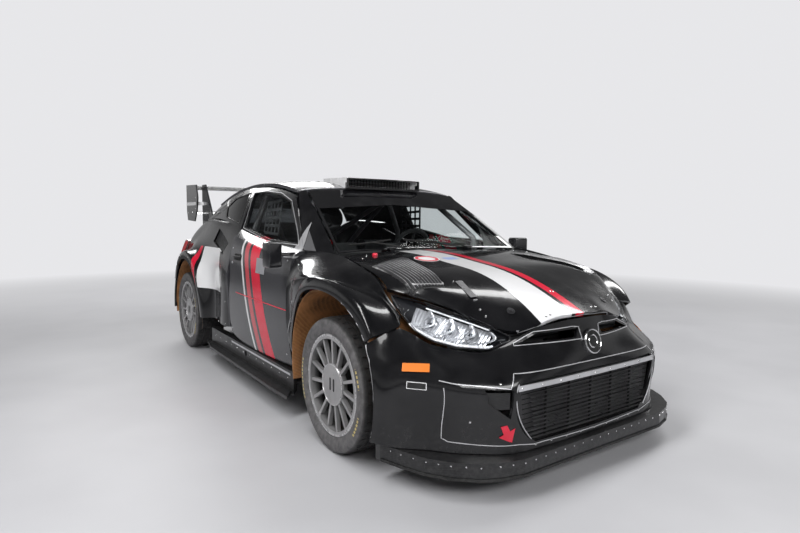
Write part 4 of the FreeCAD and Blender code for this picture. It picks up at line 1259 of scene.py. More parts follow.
LAMP_EYE = Finish("lamp_eye", (0.10, 0.11, 0.125), 0.08, metal=0.6, coat=1.0, grain=200.0,
                  relief=0.00005, dust=0.0)
GRILLE_BAR = Finish("grille_bar", (0.13, 0.13, 0.135), 0.32, metal=0.5, coat=0.2, grain=500.0,
                    relief=0.00005, dust=0.0)
LOUVRE = Finish("louvre_satin", (0.035, 0.035, 0.038), 0.35, metal=0.2, coat=0.2, grain=400.0,
                relief=0.0001, dust=0.0)
# pale grey of the painted highlights along the louvres' crests
LOUVRE_HIGHLIGHT = Finish("louvre_painted_highlight", (0.42, 0.42, 0.43), 0.3, metal=0.5, coat=0.2, grain=400.0,
                     relief=0.00005, dust=0.0)
PALE_FIELD = Finish("pale_grey_field", (0.30, 0.30, 0.32), 0.3, coat=0.3, grain=600.0,
                    relief=0.00003, drift=0.06, dust=0.0)
TAIL_GLOW = Glow("tail_light_guide", (0.80, 0.05, 0.04), 0.2, light=0.35, grain=120.0, relief=0.001,
                 dust=0.0)
SEAT_SHELL = Weave("seat_shell", (0.020, 0.020, 0.023), 0.25, coat=0.6, tows=260.0, contrast=0.5,
                   relief=0.00004, dust=0.0)
SEAT_PIPING = Cloth("seat_piping", (0.16, 0.16, 0.17), 0.7, relief=0.0002, threads=900.0,
                    drift=0.15, dust=0.0)
DARK_TRIM = Finish("textured_trim", (0.020, 0.020, 0.021), 0.62, grain=900.0, relief=0.00025)
FLOOR_TRIM = Finish("floor_coating", (0.028, 0.028, 0.030), 0.7, grain=260.0, relief=0.0004,
                    dust=0.6)
CAGE = Finish("cage_paint", (0.17, 0.17, 0.178), 0.32, coat=0.4, grain=350.0, relief=0.0001,
              dust=0.0)
MACHINED = Brushed("machined_steel", (0.40, 0.40, 0.42), 0.35, metal=1.0, relief=0.00008, dust=0.4)
BRIGHT = Brushed("bright_metal", (0.62, 0.62, 0.63), 0.25, metal=1.0, relief=0.00005, dust=0.0)
CAST = Finish("cast_alloy", (0.36, 0.36, 0.37), 0.55, metal=0.9, grain=300.0, relief=0.0006,
              dust=0.3)
HEATED = Brushed("heated_pipe", (0.35, 0.28, 0.22), 0.4, metal=1.0, relief=0.0001, dust=0.3)
SUEDE = Cloth("suede_grip", (0.022, 0.022, 0.024), 0.85, relief=0.0003, threads=500.0, drift=0.3,
              dust=0.0)
SEAT_CLOTH = Cloth("seat_cloth", (0.018, 0.018, 0.021), 0.8, relief=0.0004, threads=420.0,
                   drift=0.3, dust=0.0)
WEBBING = Cloth("harness_webbing", (0.20, 0.012, 0.02), 0.7, relief=0.0003, threads=600.0,
                drift=0.25, dust=0.0)
NETTING = Cloth("net_webbing", (0.05, 0.05, 0.055), 0.75, relief=0.0003, threads=600.0, drift=0.25,
                dust=0.0)
SILVER_TAPE = Finish("silver_tape", SILVER, 0.35, metal=0.3, grain=600.0, relief=0.00003,
                     drift=0.06, dust=0.0)
WHITE_TAPE = Finish("white_tape", WHITE, 0.35, grain=600.0, relief=0.00003, drift=0.04, dust=0.0)
RED_TAPE = Finish("red_tape", RED, 0.35, coat=0.3, grain=600.0, relief=0.00003, drift=0.08,
                  dust=0.0)
ORANGE_TAPE = Finish("orange_tape", (0.82, 0.20, 0.012), 0.35, coat=0.3, grain=600.0,
                     relief=0.00003, drift=0.05, dust=0.0)
BLUE_TAPE = Finish("pale_blue_tape", (0.35, 0.45, 0.72), 0.35, coat=0.3, grain=600.0,
                   relief=0.00003, drift=0.05, dust=0.0)
LAMP_BODY = Finish("lamp_inner", (0.80, 0.80, 0.82), 0.22, metal=0.55, grain=60.0, relief=0.0010,
                   drift=0.2, dust=0.0)
LAMP_DARK = Finish("lamp_dark_inner", (0.022, 0.022, 0.025), 0.3, metal=0.2, grain=300.0,
                   relief=0.0002, dust=0.0)
LAMP_LIGHT = Glow("lamp_light", (0.88, 0.89, 0.92), 0.25, metal=0.2, light=0.7, grain=90.0,
                  relief=0.002, dust=0.0)
MIRROR_GLASS = Brushed("mirror_glass", (0.75, 0.77, 0.79), 0.03, metal=1.0, relief=0.0, dust=0.0)
SCREEN_DARK = Finish("display_glass", (0.010, 0.011, 0.014), 0.12, coat=1.0, grain=300.0,
                     relief=0.00002, dust=0.0)
# near black for soot and for the painted shade inside the exhaust's bore
SOOT_AND_SHADE = Finish("soot_and_painted_shade", (0.002, 0.002, 0.002), 0.95, grain=600.0, relief=0.0001, drift=0.3,
              glint=0.05)
RUBBER_TRIM = Finish("rubber_trim", (0.012, 0.012, 0.012), 0.7, grain=800.0, relief=0.0002,
                     drift=0.4)
BADGE_METAL = Finish("badge_metal", (0.68, 0.68, 0.69), 0.14, metal=1.0, grain=400.0,
                     relief=0.00005, drift=0.06, dust=0.0)


class Painter:
    """Gives every carried-over CAD node its finish."""

    def build(self) -> None:
        """Dress all the nodes that stay."""
        table: dict = {
            PAINT: ("front_bumper", "rear_bumper", "tailgate"),
            SAIL_PAINT: ("windscreen_frame",),
            BONNET_PAINT: ("bonnet",),
            SIDE_PAINT: ("front_wings", "rear_wings"),
            DOOR_PAINT: ("left_door", "right_door"),
            ROOF_PAINT: ("roof",),
            WHITE_PAINT: ("roof_scoop",),
            GLOSS_CARBON: ("rear_wing",),
            LINER: ("wheel_arch_liners",),
            SCREEN: ("windscreen",),
            REAR_SCREEN: ("rear_window",),
            CLEAR: ("left_door_window", "right_door_window"),
            SMOKED: ("quarter_windows",),
            LENS: ("headlights",),
            RED_LENS: ("tail_lights",),
            COOLER: ("radiator_grille",),
            MESH: ("bonnet_vents",),
            SIDE_MESH: ("intake_meshes",),
            WHEEL_GREY: tuple(f"{end}_{side}_wheel" for end in ("front", "rear")
                              for side in ("left", "right")),
            DARK_TRIM: ("dashboard",),
            FLOOR_TRIM: ("floor_pan",),
            CAGE: ("roll_cage",),
            MACHINED: ("front_suspension", "rear_suspension"),
            BRAKES: ("front_left_hub_carrier", "front_right_hub_carrier"),
            CAST: ("engine_block",),
            HEATED: ("exhaust",),
            SUEDE: ("steering_wheel",),
            SEAT_CLOTH: ("seats",),
            SATIN_CARBON: ("front_splitter", "side_skirts", "rear_diffuser", "left_mirror",
                           "right_mirror"),
        }
        dressed: set = set()
        for finish, names in table.items():
            Fitter.dress(finish.build(), *names)
            dressed.update(names)
        for end, axle in AXLES:
            names = tuple(f"{end}_{side}_tyre" for side, _ in SIDES)
            Fitter.dress(tyre_rubber(end, axle).build(), *names)
            dressed.update(names)
        missing = sorted(set(NODES) - dressed)
        if missing:
            Fitter.dress(DARK_TRIM.build(), *missing)
            LOG.warning("plain trim on %s", missing)
        LOG.info("%d CAD nodes dressed", len(NODES))


# ------------------------------------------------------------------ sub-assemblies

SIDES = (("left", 1), ("right", -1))
AXLES = (("front", FRONT_AXLE), ("rear", REAR_AXLE))


def tangent_frame(normal: Vector, up: Vector) -> Matrix:
    """Axes on a face: across, up the face and out of it.

    Args:
        normal: the face's normal.
        up: a direction that is roughly up the face.

    Returns:
        A 4 by 4 turn.
    """
    out = normal.normalized()
    rise = (up - out * up.dot(out)).normalized()
    across = rise.cross(out)
    return Matrix((across, rise, out)).transposed().to_4x4()


def tag(name: str, skin: Skin, spot: Vector, outline: Sequence[Point2], up: Vector = UP,
        way: Optional[Vector] = None, lift: float = 0.0006, depth: float = 0.0012,
        bevel: float = 0.0) -> bpy.types.Object:
    """A thin flat shape on a face.

    Args:
        name: the piece's name.
        skin: the faces that it lies on.
        spot: its middle.
        outline: corners in mm across and up from the middle.
        up: a direction that is roughly up the face.
        way: direction to look for the face in, or None for the closest point.
        lift: gap under it.
        depth: its thickness.
        bevel: radius of its edges.

    Returns:
        The piece.
    """
    place, normal = skin.cast(spot, way) if way is not None else skin.near(spot)
    turn = tangent_frame(normal, up)
    base = place + normal.normalized() * lift
    corners = [base + turn @ Vector((u / 1000, v / 1000, 0)) for u, v in outline]
    return Bench.prism(name, corners, normal.normalized() * depth, bevel)


def rounded(width: float, height: float, radius: float, steps: int = 4) -> list[Point2]:
    """Corners of a rounded rectangle round the origin, in the units given."""
    corners = []
    for k, (sx, sy) in enumerate(((1, 1), (-1, 1), (-1, -1), (1, -1))):
        cx, cy = sx * (width / 2 - radius), sy * (height / 2 - radius)
        for i in range(steps + 1):
            turn = math.pi / 2 * (k + i / steps)
            corners.append((cx + radius * math.cos(turn), cy + radius * math.sin(turn)))
    return corners


def round_outline(radius: float, sides: int = 28) -> list[Point2]:
    """Corners of a disc round the origin."""
    return [(radius * math.cos(2 * math.pi * i / sides),
             radius * math.sin(2 * math.pi * i / sides)) for i in range(sides)]


def tyre_rubber(end: str, axle: float) -> Rubber:
    """The finish of the two tyres of one axle."""
    return Rubber(f"{end}_tyre_rubber", (0.02, 0.02, 0.02), 0.75, relief=0.0006, grain=600.0,
                  axle=axle)


def flip(point: Point3, sign: int) -> Vector:
    """A drawn (offset, station, level) on the left or the right side."""
    return at(point[0] * sign, point[1], point[2])


@dataclass
class Wheels:
    """Tyres, rim edges and hub faces of the four wheels.

    Fields:
        centre: distance of a tyre's middle from the car's middle, in metres.
        height: height of the axles.
        tread: closed profile of a tyre: mm outboard of its middle, mm from the axle.
        lip: closed profile of the bright rim edge.
        facets: facets round a tyre.
        tread_level: a facet further than this from the axle is tread.
        shoulder, rib: bands of the tread that have slots, as distances from its middle.
        shoulder_every, rib_every: one slot in this many facets.
        slot_margin, slot_slope, slot_depth: edge left round a slot, run of its walls, depth.
        far: distance outboard of the tyre's middle from which faces are looked for.
        slot: width, height, corner radius in mm of a hub slot.
        slot_offset, slot_rise: a hub slot's distance from the axle, and its thickness.
        hub_ring: closed profile of the ring round the hub face.
        valve_turn: where the valve sits, in degrees from the rear upward.
        valve_reach, valve_out: its foot's distance from the axle and from the tyre's middle.
        valve_rise, valve_lean: how far it stands out, and leans to the axle.
        valve_foot, valve_tip: its radii.
    """

    centre: float = 0.798
    height: float = 0.3225
    tread: tuple = (
        (101, 243), (107, 247), (114, 262), (118, 284), (116, 300), (110, 312), (100, 318.5),
        (92, 320.5), (62, 322.3), (58, 322.3), (57, 316), (50, 316), (49, 322.5), (5, 322.5),
        (4, 316), (-4, 316), (-5, 322.5), (-49, 322.5), (-50, 316), (-57, 316), (-58, 322.3),
        (-62, 322.3), (-92, 320.5), (-100, 318.5), (-110, 312), (-116, 300), (-118, 284),
        (-114, 262), (-107, 247), (-101, 243), (-90, 246), (-80, 262), (80, 262), (90, 246),
    )
    lip: tuple = ((99, 229), (104, 231), (106.5, 235), (106.5, 240), (104, 243.5), (100, 244),
                  (97, 240), (96, 233))
    facets: int = 120
    tread_level: float = 0.318
    shoulder: tuple = (0.062, 0.092)
    shoulder_every: int = 3
    rib: tuple = (0.010, 0.040)
    rib_every: int = 12
    slot_margin: float = 0.0035
    slot_slope: float = 0.0008
    slot_depth: float = 0.0045
    far: float = 0.2
    slot: tuple = (13, 62, 6.4)
    slot_offset: float = 0.017
    slot_rise: float = 0.001
    hub_ring: tuple = ((0.0, 0.094), (0.0025, 0.095), (0.0025, 0.099), (0.0, 0.1005),
                       (-0.002, 0.097))
    valve_turn: float = 200
    valve_reach: float = 0.222
    valve_out: float = 0.085
    valve_rise: float = 0.022
    valve_lean: float = 0.012
    valve_foot: float = 0.0035
    valve_tip: float = 0.0028

    def tyre(self, name: str, middle: Vector, sign: int, finish: Material) -> None:
        """One tyre with round grooves and shoulder slots."""
        profile = [(along / 1000, radius / 1000) for along, radius in self.tread]
        piece = Bench.turned(f"{name}_tyre_body", profile, middle, Vector((sign, 0, 0)),
                             self.facets)
        Bench.clear()
        piece.select_set(True)
        bpy.context.view_layer.objects.active = piece
        bpy.ops.object.mode_set(mode="EDIT")
        bpy.ops.mesh.select_mode(type="FACE")
        bpy.ops.mesh.select_all(action="DESELECT")
        mesh = bmesh.from_edit_mesh(piece.data)
        for face in mesh.faces:
            spot = face.calc_center_median() - middle
            reach = math.hypot(spot.y, spot.z)
            step = int((math.atan2(spot.z, spot.y) / (2 * math.pi) + 1) * self.facets + 0.5)
            out = abs(spot.x)
            outer = self.shoulder[0] < out < self.shoulder[1] and step % self.shoulder_every == 0
            inner = (self.rib[0] < out < self.rib[1]
                     and step % self.rib_every == self.rib_every // 2)
            face.select = reach > self.tread_level and (outer or inner)
        bmesh.update_edit_mesh(piece.data)
        bpy.ops.mesh.inset(thickness=self.slot_margin, depth=0.0, use_individual=True)
        bpy.ops.mesh.inset(thickness=self.slot_slope, depth=-self.slot_depth,
                           use_individual=True)
        bpy.ops.object.mode_set(mode="OBJECT")
        Fitter.fit(piece, f"{name}_wheel", finish, "tyre", [f"{name}_tyre"], angle=28)

    def rim(self, name: str, middle: Vector, sign: int, satin: Material, dark: Material) -> None:
        """The rim's rolled edge, dark plates of painted shade for the hub face's two slots, and the
        valve.
        """
        body = f"{name}_wheel"
        axis = Vector((sign, 0, 0))
        skin = Skin(body)
        profile = [(along / 1000, radius / 1000) for along, radius in self.lip]
        Fitter.fit(Bench.turned(f"{name}_rim_edge", profile, middle, axis, 96), body, satin,
                   "wheel")
        # painted shade: the hub face's two slots are flat dark plates standing for the shade in the
        # openings
        slots = []
        for side in (-1, 1):
            spot = middle + Vector((0, side * self.slot_offset, 0)) + axis * self.far
            slots.append(tag("slot", skin, spot, rounded(*self.slot), way=-axis,
                             depth=self.slot_rise))
        Fitter.fit(Bench.join(f"{name}_hub_slot_shades", slots), body, dark, "wheel")
        face, _ = skin.cast(middle + axis * self.far, -axis)
        hub = Bench.turned(f"{name}_hub_ring", self.hub_ring,
                           Vector((face.x, middle.y, middle.z)), axis, 64)
        Fitter.fit(hub, body, satin, "wheel")
        turn = math.radians(self.valve_turn)
        back, rise = math.cos(turn), math.sin(turn)
        foot = (middle + Vector((0, back * self.valve_reach, rise * self.valve_reach))
                + axis * self.valve_out)
        tip = foot + axis * self.valve_rise - Vector((0, back, rise)) * self.valve_lean
        valve = Bench.rod("valve", foot, tip, self.valve_foot, 12, 0.0005, self.valve_tip)
        Fitter.fit(Bench.join(f"{name}_valve", [valve]), body, dark, "wheel")

    def build(self) -> None:
        """All four."""
        satin = RIM_EDGE.build()
        dark = DARK_TRIM.build()
        for end, axle in AXLES:
            rubber = tyre_rubber(end, axle).build()
            for side, sign in SIDES:
                middle = Vector((sign * self.centre, axle, self.height))
                self.tyre(f"{end}_{side}", middle, sign, rubber)
                self.rim(f"{end}_{side}", middle, sign, satin, dark)


@dataclass
class Headlamps:
    """What shows through the clear lamp covers.

    Fields:
        top: upper edge of the cover, front to back, as drawn places.
        middle: its middle line.
        low: its lower edge.
        dishes: share of the way back, radius and sinking in mm of each reflector.
        blades: share of the way back where each blade between them starts and stops.
    """

    top: tuple = ((404, -680, 616), (440, -622, 643), (500, -555, 676), (575, -478, 712),
                  (650, -363, 746), (730, -236, 772))
    middle: tuple = ((410, -684, 610), (470, -646, 606), (560, -566, 626), (640, -500, 652),
                     (704, -410, 690), (736, -268, 752))
    low: tuple = ((412, -684, 602), (498, -642, 566), (600, -556, 568), (672, -490, 592),
                  (726, -434, 634), (742, -308, 728))
    dishes: tuple = ((0.34, 33, 34), (0.50, 36, 36), (0.66, 33, 36))
    blades: tuple = ((0.20, 0.33), (0.37, 0.49), (0.53, 0.65), (0.69, 0.80))

    @staticmethod
    def inward(sign: int, depth: float) -> Vector:
        """A push back into the lamp, in mm."""
        return Vector((-0.30 * sign, 0.90, -0.25)).normalized() * (depth / 1000)

    def along(self, row: Sequence[Point3], share: float, sign: int) -> Vector:
        """A place part of the way along a row."""
        spot = share * (len(row) - 1)
        first = min(int(spot), len(row) - 2)
        return flip(row[first], sign).lerp(flip(row[first + 1], sign), spot - first)

    def across(self, share: float, rise: float, sign: int, depth: float) -> Vector:
        """A place under the cover: share back, rise from the lower edge up, depth in mm."""
        low, high = self.along(self.low, share, sign), self.along(self.top, share, sign)
        mid = self.along(self.middle, share, sign)
        straight = low.lerp(high, rise)
        bulge = (mid - low.lerp(high, 0.5)) * (1 - (2 * rise - 1) ** 2)
        return straight + bulge + self.inward(sign, depth)

    def bowl(self, side: str, sign: int, dark: Material) -> None:
        """The dark inside wall that closes the lamp behind its cover."""
        shares = [0.02 + 0.96 * i / 20 for i in range(21)]
        rings = ((0.97, 15), (0.94, 42), (0.7, 78), (0.45, 88), (0.2, 74), (0.05, 46), (0.03, 15))
        rows = [[self.across(s, rise, sign, depth * min(1.0, 0.35 + 3.2 * min(s, 1 - s)))
                 for s in shares]
                for rise, depth in rings]
        Fitter.fit(Bench.sheet(f"{side}_lamp_bowl", rows, levels=1), "body", dark, "lamp")

    def optics(self, side: str, sign: int, pale: Material, glow: Material,
               dark: Material) -> None:
        """Dished reflectors with their eyes, the blades between them and two light bars."""
        shells, eyes, bars = [], [], []
        for share, radius, sink in self.dishes:
            centre = self.across(share, 0.50, sign, sink)
            axis = -self.inward(sign, 1000.0)
            r = radius / 1000
            dish = [(-0.030, 0.010), (-0.024, r * 0.55), (-0.010, r * 0.86), (0.004, r),
                    (0.0055, r * 1.04),
                    (0.001, r * 1.03), (-0.014, r * 0.90), (-0.029, r * 0.60), (-0.034, 0.010)]
            shells.append(Bench.turned("dish", dish, centre, axis, 40))
            eye = [(-0.024, 0.0), (-0.024, r * 0.42), (-0.004, r * 0.40), (0.006, r * 0.30),
                   (0.010, r * 0.15), (0.0115, 0.0)]
            eyes.append(Bench.turned("eye", eye, centre, axis, 28, closed=False))
        for start, stop in self.blades:
            rows = []
            for k in range(7):
                rise = 0.86 - 0.70 * k / 6
                bow = 0.10 * math.sin(math.pi * k / 6)
                rows.append([self.across(start + (stop - start) * 0.32 * (j / 4) - bow + 0.05
                                         * (k / 6) * 2, rise, sign,
                                         20 + 16 * abs(j / 4 - 0.3)) for j in range(5)])
            shells.append(Bench.sheet("blade", rows, wall=0.002, levels=1))
        bar = [self.across(0.16 + 0.68 * i / 14, 0.12, sign, 22) for i in range(15)]
        bars.append(Bench.pipe("bar", bar, 0.0055))
        upper = [self.across(0.24 + 0.50 * i / 12, 0.90, sign, 22) for i in range(13)]
        bars.append(Bench.pipe("bar", upper, 0.0035))
        Fitter.fit(Bench.join(f"{side}_lamp_reflectors", shells), "body", pale, "lamp")
        Fitter.fit(Bench.join(f"{side}_lamp_light_bars", bars), "body", glow, "lamp")
        Fitter.fit(Bench.join(f"{side}_lamp_eyes", eyes), "body", dark, "lamp")

    def panel(self, side: str, sign: int, pale: Material) -> None:
        """The ribbed pale panel round the reflectors."""
        rows = []
        for k in range(9):
            rise = 0.15 + 0.70 * k / 8
            rows.append([self.across(0.19 + 0.60 * i / 48 + 0.03 * (1 - rise), rise, sign,
                                     46 + (4 if i % 2 else 0))
                         for i in range(49)])
        Fitter.fit(Bench.sheet(f"{side}_lamp_panel", rows, wall=0.002), "body", pale, "lamp",
                   angle=12)

    def rim(self, side: str, sign: int, trim: Material) -> None:
        """The thin dark line round the cover."""
        skin = Skin("headlights")
        ring = [flip(p, sign) for p in self.top] + [flip(p, sign) for p in reversed(self.low)]
        middle = sum(ring, Vector()) / len(ring)
        ring = [p.lerp(middle, 0.03) for p in ring]
        piece = Bench.ribbon(f"{side}_lamp_edge", skin, [*ring, ring[0]], 0.003, step=0.02)
        Fitter.fit(piece, "body", trim, "lamp")

    def build(self) -> None:
        """Both lamps."""
        pale, glow = LAMP_BODY.build(), LAMP_LIGHT.build()
        dark, trim = LAMP_DARK.build(), LAMP_DARK.build()
        eye = LAMP_EYE.build()
        for side, sign in SIDES:
            self.bowl(side, sign, dark)
            self.panel(side, sign, pale)
            self.optics(side, sign, pale, glow, eye)
            self.rim(side, sign, trim)


@dataclass
class Nose:
    """Badge, lines, grille bars, fins and fasteners of the front bumper and the splitter."""

    badge: Point3 = (0, -781, 571)
    badge_radius: float = 0.056
    lip_line: tuple = ((0, -797, 490), (200, -797, 490), (472, -788, 488), (509, -788, 437),
                       (600, -724, 448), (700, -652, 458),
                       (736, -612, 466))
    lip_line_low: tuple = ((728, -600, 440), (722, -600, 330), (718, -600, 226), (700, -622, 214),
                           (600, -700, 205),
                           (460, -780, 200), (380, -800, 188), (0, -810, 186))
    slot_line: tuple = ((60, -770, 583), (70, -742, 640), (110, -738, 644), (298, -690, 632),
                        (402, -682, 592), (404, -690, 582),
                        (300, -724, 584), (64, -768, 588))

    def build(self) -> None:
        """Everything on the nose."""
        skin = Skin("front_bumper")
        silver, dark, satin = SILVER_TAPE.build(), RUBBER_TRIM.build(), SATIN_CARBON.build()
        bright, grey = BADGE_METAL.build(), GRILLE_BAR.build()
        self.emblem(skin, bright, dark)
        for side, sign in SIDES:
            for line, name, width in ((self.lip_line, "lip_line", 0.004),
                                      (self.lip_line_low, "corner_line", 0.0035),
                                      (self.slot_line, "slot_line", 0.0035)):
                path = [flip(p, sign) for p in line]
                piece = Bench.ribbon(f"{side}_{name}", skin, path, width, way=REARWARD)
                Fitter.fit(piece, "body", silver, "painted_body")
            self.cheek(side, sign, satin, silver)
            self.labels(side, sign, skin)
        self.mouth(satin, silver, grey, bright)
        self.splitter(bright, dark)

    def emblem(self, skin: Skin, bright: Material, dark: Material) -> None:
        """A plain round badge: a ring, a shallow dish and a round boss."""
        _, normal = skin.cast(at(*self.badge), REARWARD)
        normal = Vector((0, normal.y, max(normal.z, 0.15))).normalized()
        centre = at(*self.badge) + normal * 0.004
        r = self.badge_radius
        ring = [(0.0, r - 0.009), (0.006, r - 0.0075), (0.008, r - 0.004), (0.006, r),
                (0.0, r + 0.0015), (-0.012, r)]
        ring.append((-0.012, r - 0.009))
        Fitter.fit(Bench.turned("badge_ring", ring, centre, normal, 64), "body", bright,
                   "painted_body")
        dish = [(-0.012, 0.0), (-0.012, r - 0.005), (0.001, r - 0.0085), (-0.002, r * 0.7),
                (-0.003, r * 0.4), (-0.003, 0.0)]
        Fitter.fit(Bench.turned("badge_dish", dish, centre, normal, 48, closed=False), "body", dark,
                   "painted_body")
        boss = [(-0.006, r * 0.42), (0.004, r * 0.44), (0.0065, r * 0.50), (0.004, r * 0.56),
                (-0.006, r * 0.58)]
        Fitter.fit(Bench.turned("badge_boss", boss, centre, normal, 48), "body", bright,
                   "painted_body")

    def mouth(self, satin: Material, silver: Material, grey: Material,
              bright: Material) -> None:
        """The strip, the bars and the fasteners of the wide mouth."""
        xs = [-478 + 956 * i / 24 for i in range(25)]

        def front(x: float, back: float = 0.0) -> float:
            """Station of the strip's face."""
            return -806 + 9 * (x / 478) ** 2 + back

        strip = Bench.sheet("mouth_strip",
                            [[at(x, front(x), z) for x in xs] for z in (424, 434, 445)], wall=0.006)
        Fitter.fit(strip, "body", silver, "painted_body")
        bars = []
        lowest, pitch, count = 212, 17.2, 12
        corner, inset = 260, 6
        for k in range(count):
            z = lowest + pitch * k
            if z < corner:
                half = 370 + (z - 196) * 1.09 - inset
            else:
                half = min(372 + (z - 196) * (30 / 170), 440 + (z - corner) * 0.17) - inset
            span = [-half + 2 * half * i / 16 for i in range(17)]
            rows = [[at(x, front(x, 14), z - 1.6) for x in span],
                    [at(x, front(x, 5), z) for x in span],
                    [at(x, front(x, 16), z + 1.6) for x in span]]
            bars.append(Bench.sheet("bar", rows, wall=0.0016))
        Fitter.fit(Bench.join("mouth_bars", bars), "body", grey, "mesh")
        posts = []
        for x in (-300, -150, 0, 150, 300):
            posts.append(Bench.block("post", at(x - 2, -788, 204), at(x + 2, -776, 424), 0.001))
        Fitter.fit(Bench.join("mouth_posts", posts), "body", satin, "mesh")
        skin = Skin("front_bumper")
        places = [skin.cast(at(x, -900, z), REARWARD) for x, z in
                  [(-370 + 92.5 * i, 183) for i in range(9)]
                  + [(540, 456), (-540, 456), (640, 300), (-640, 300)]]
        Fitter.fit(Bench.copies("bumper_fasteners", Bench.stud(*SCREW), places), "body", bright,
                   "painted_body")
        heads = [(at(x, front(x), 434) + Vector((0, -0.0005, 0)), FORWARD)
                 for x in (-460, -345, -230, -115, 0, 115, 230, 345, 460)]
        Fitter.fit(Bench.copies("strip_fasteners", Bench.stud(0.0045, 0.002), heads), "body",
                   bright, "painted_body")

    def cheek(self, side: str, sign: int, satin: Material, silver: Material) -> None:
        """The curved fin beside the mouth and the vane in the side opening."""
        line = ((472, 452), (486, 425), (484, 380), (474, 330), (456, 290), (432, 250), (400, 216))
        rows = []
        for depth in (0, 14, 28):
            rows.append([at(sign * x, -812 + depth + 22 * (x / 480) ** 2, z) for x, z in line])
        Fitter.fit(Bench.sheet(f"{side}_mouth_fin", rows, wall=0.003, levels=1), "body", satin,
                   "painted_body")
        edge = [at(sign * x, -813 + 22 * (x / 480) ** 2, z) for x, z in line]
        Fitter.fit(Bench.pipe(f"{side}_mouth_fin_edge", edge, 0.0022), "body", silver,
                   "painted_body")
        vane = [[at(sign * x, s, z) for x, s in ((504, -772), (545, -752), (590, -716))]
                for z in (352, 356, 420)]
        Fitter.fit(Bench.sheet(f"{side}_cheek_vane", vane, wall=0.003), "body", satin,
                   "painted_body")

    def labels(self, side: str, sign: int, skin: Skin) -> None:
        """Blank stickers and the tow arrow."""
        out = Vector((-sign * 0.5, 1, 0))
        orange = tag(f"{side}_orange_label", skin, at(sign * 806, -560, 506), rounded(112, 40, 3),
                     way=out)
        Fitter.fit(orange, "body", ORANGE_TAPE.build(), "painted_body")
        plain = tag(f"{side}_pale_label", skin, at(sign * 806, -556, 440), rounded(84, 30, 3),
                    way=out)
        Fitter.fit(plain, "body", WHITE_TAPE.build(), "painted_body")
        inner = tag(f"{side}_label_field", skin, at(sign * 806, -556, 440), rounded(78, 24, 2),
                    way=out, lift=0.0019,
                    depth=0.0004)
        Fitter.fit(inner, "body", RUBBER_TRIM.build(), "painted_body")
        if sign < 0:
            arrow = ((-40, 34), (-12, 38), (2, 12), (24, 22), (12, -38), (-46, -10), (-26, 0))
            piece = tag("tow_arrow", skin, at(-500, -760, 248), arrow, way=REARWARD)
            Fitter.fit(piece, "body", RED_TAPE.build(), "painted_body")

    def splitter(self, bright: Material, dark: Material) -> None:
        """Rivets round the splitter's edge and its rubbing strip."""
        skin = Skin("front_splitter")
        plan = ((0, -842), (480, -842), (589, -813), (660, -778), (746, -698), (804, -613),
                (846, -500), (876, -395))
        line = [Vector((x, s)) for x, s in plan]
        places = []
        for a, b in zip(line, line[1:]):
            count = max(1, round((b - a).length / 57))
            for i in range(count):
                spot = a.lerp(b, i / count)
                for sign in ((1,) if spot.x == 0 else (1, -1)):
                    places.append(skin.near(at(sign * spot.x, spot.y - 4, 150)))
        Fitter.fit(Bench.copies("splitter_rivets", Bench.stud(0.0042, 0.0018, 8), places), "body",
                   bright, "carbon")
        for side, sign in SIDES:
            strip = [at(sign * p.x, p.y - 3, 100) for p in line]
            piece = Bench.ribbon(f"{side}_splitter_rub", skin, strip, 0.010, step=0.03, wall=0.002)
            Fitter.fit(piece, "body", dark, "carbon")


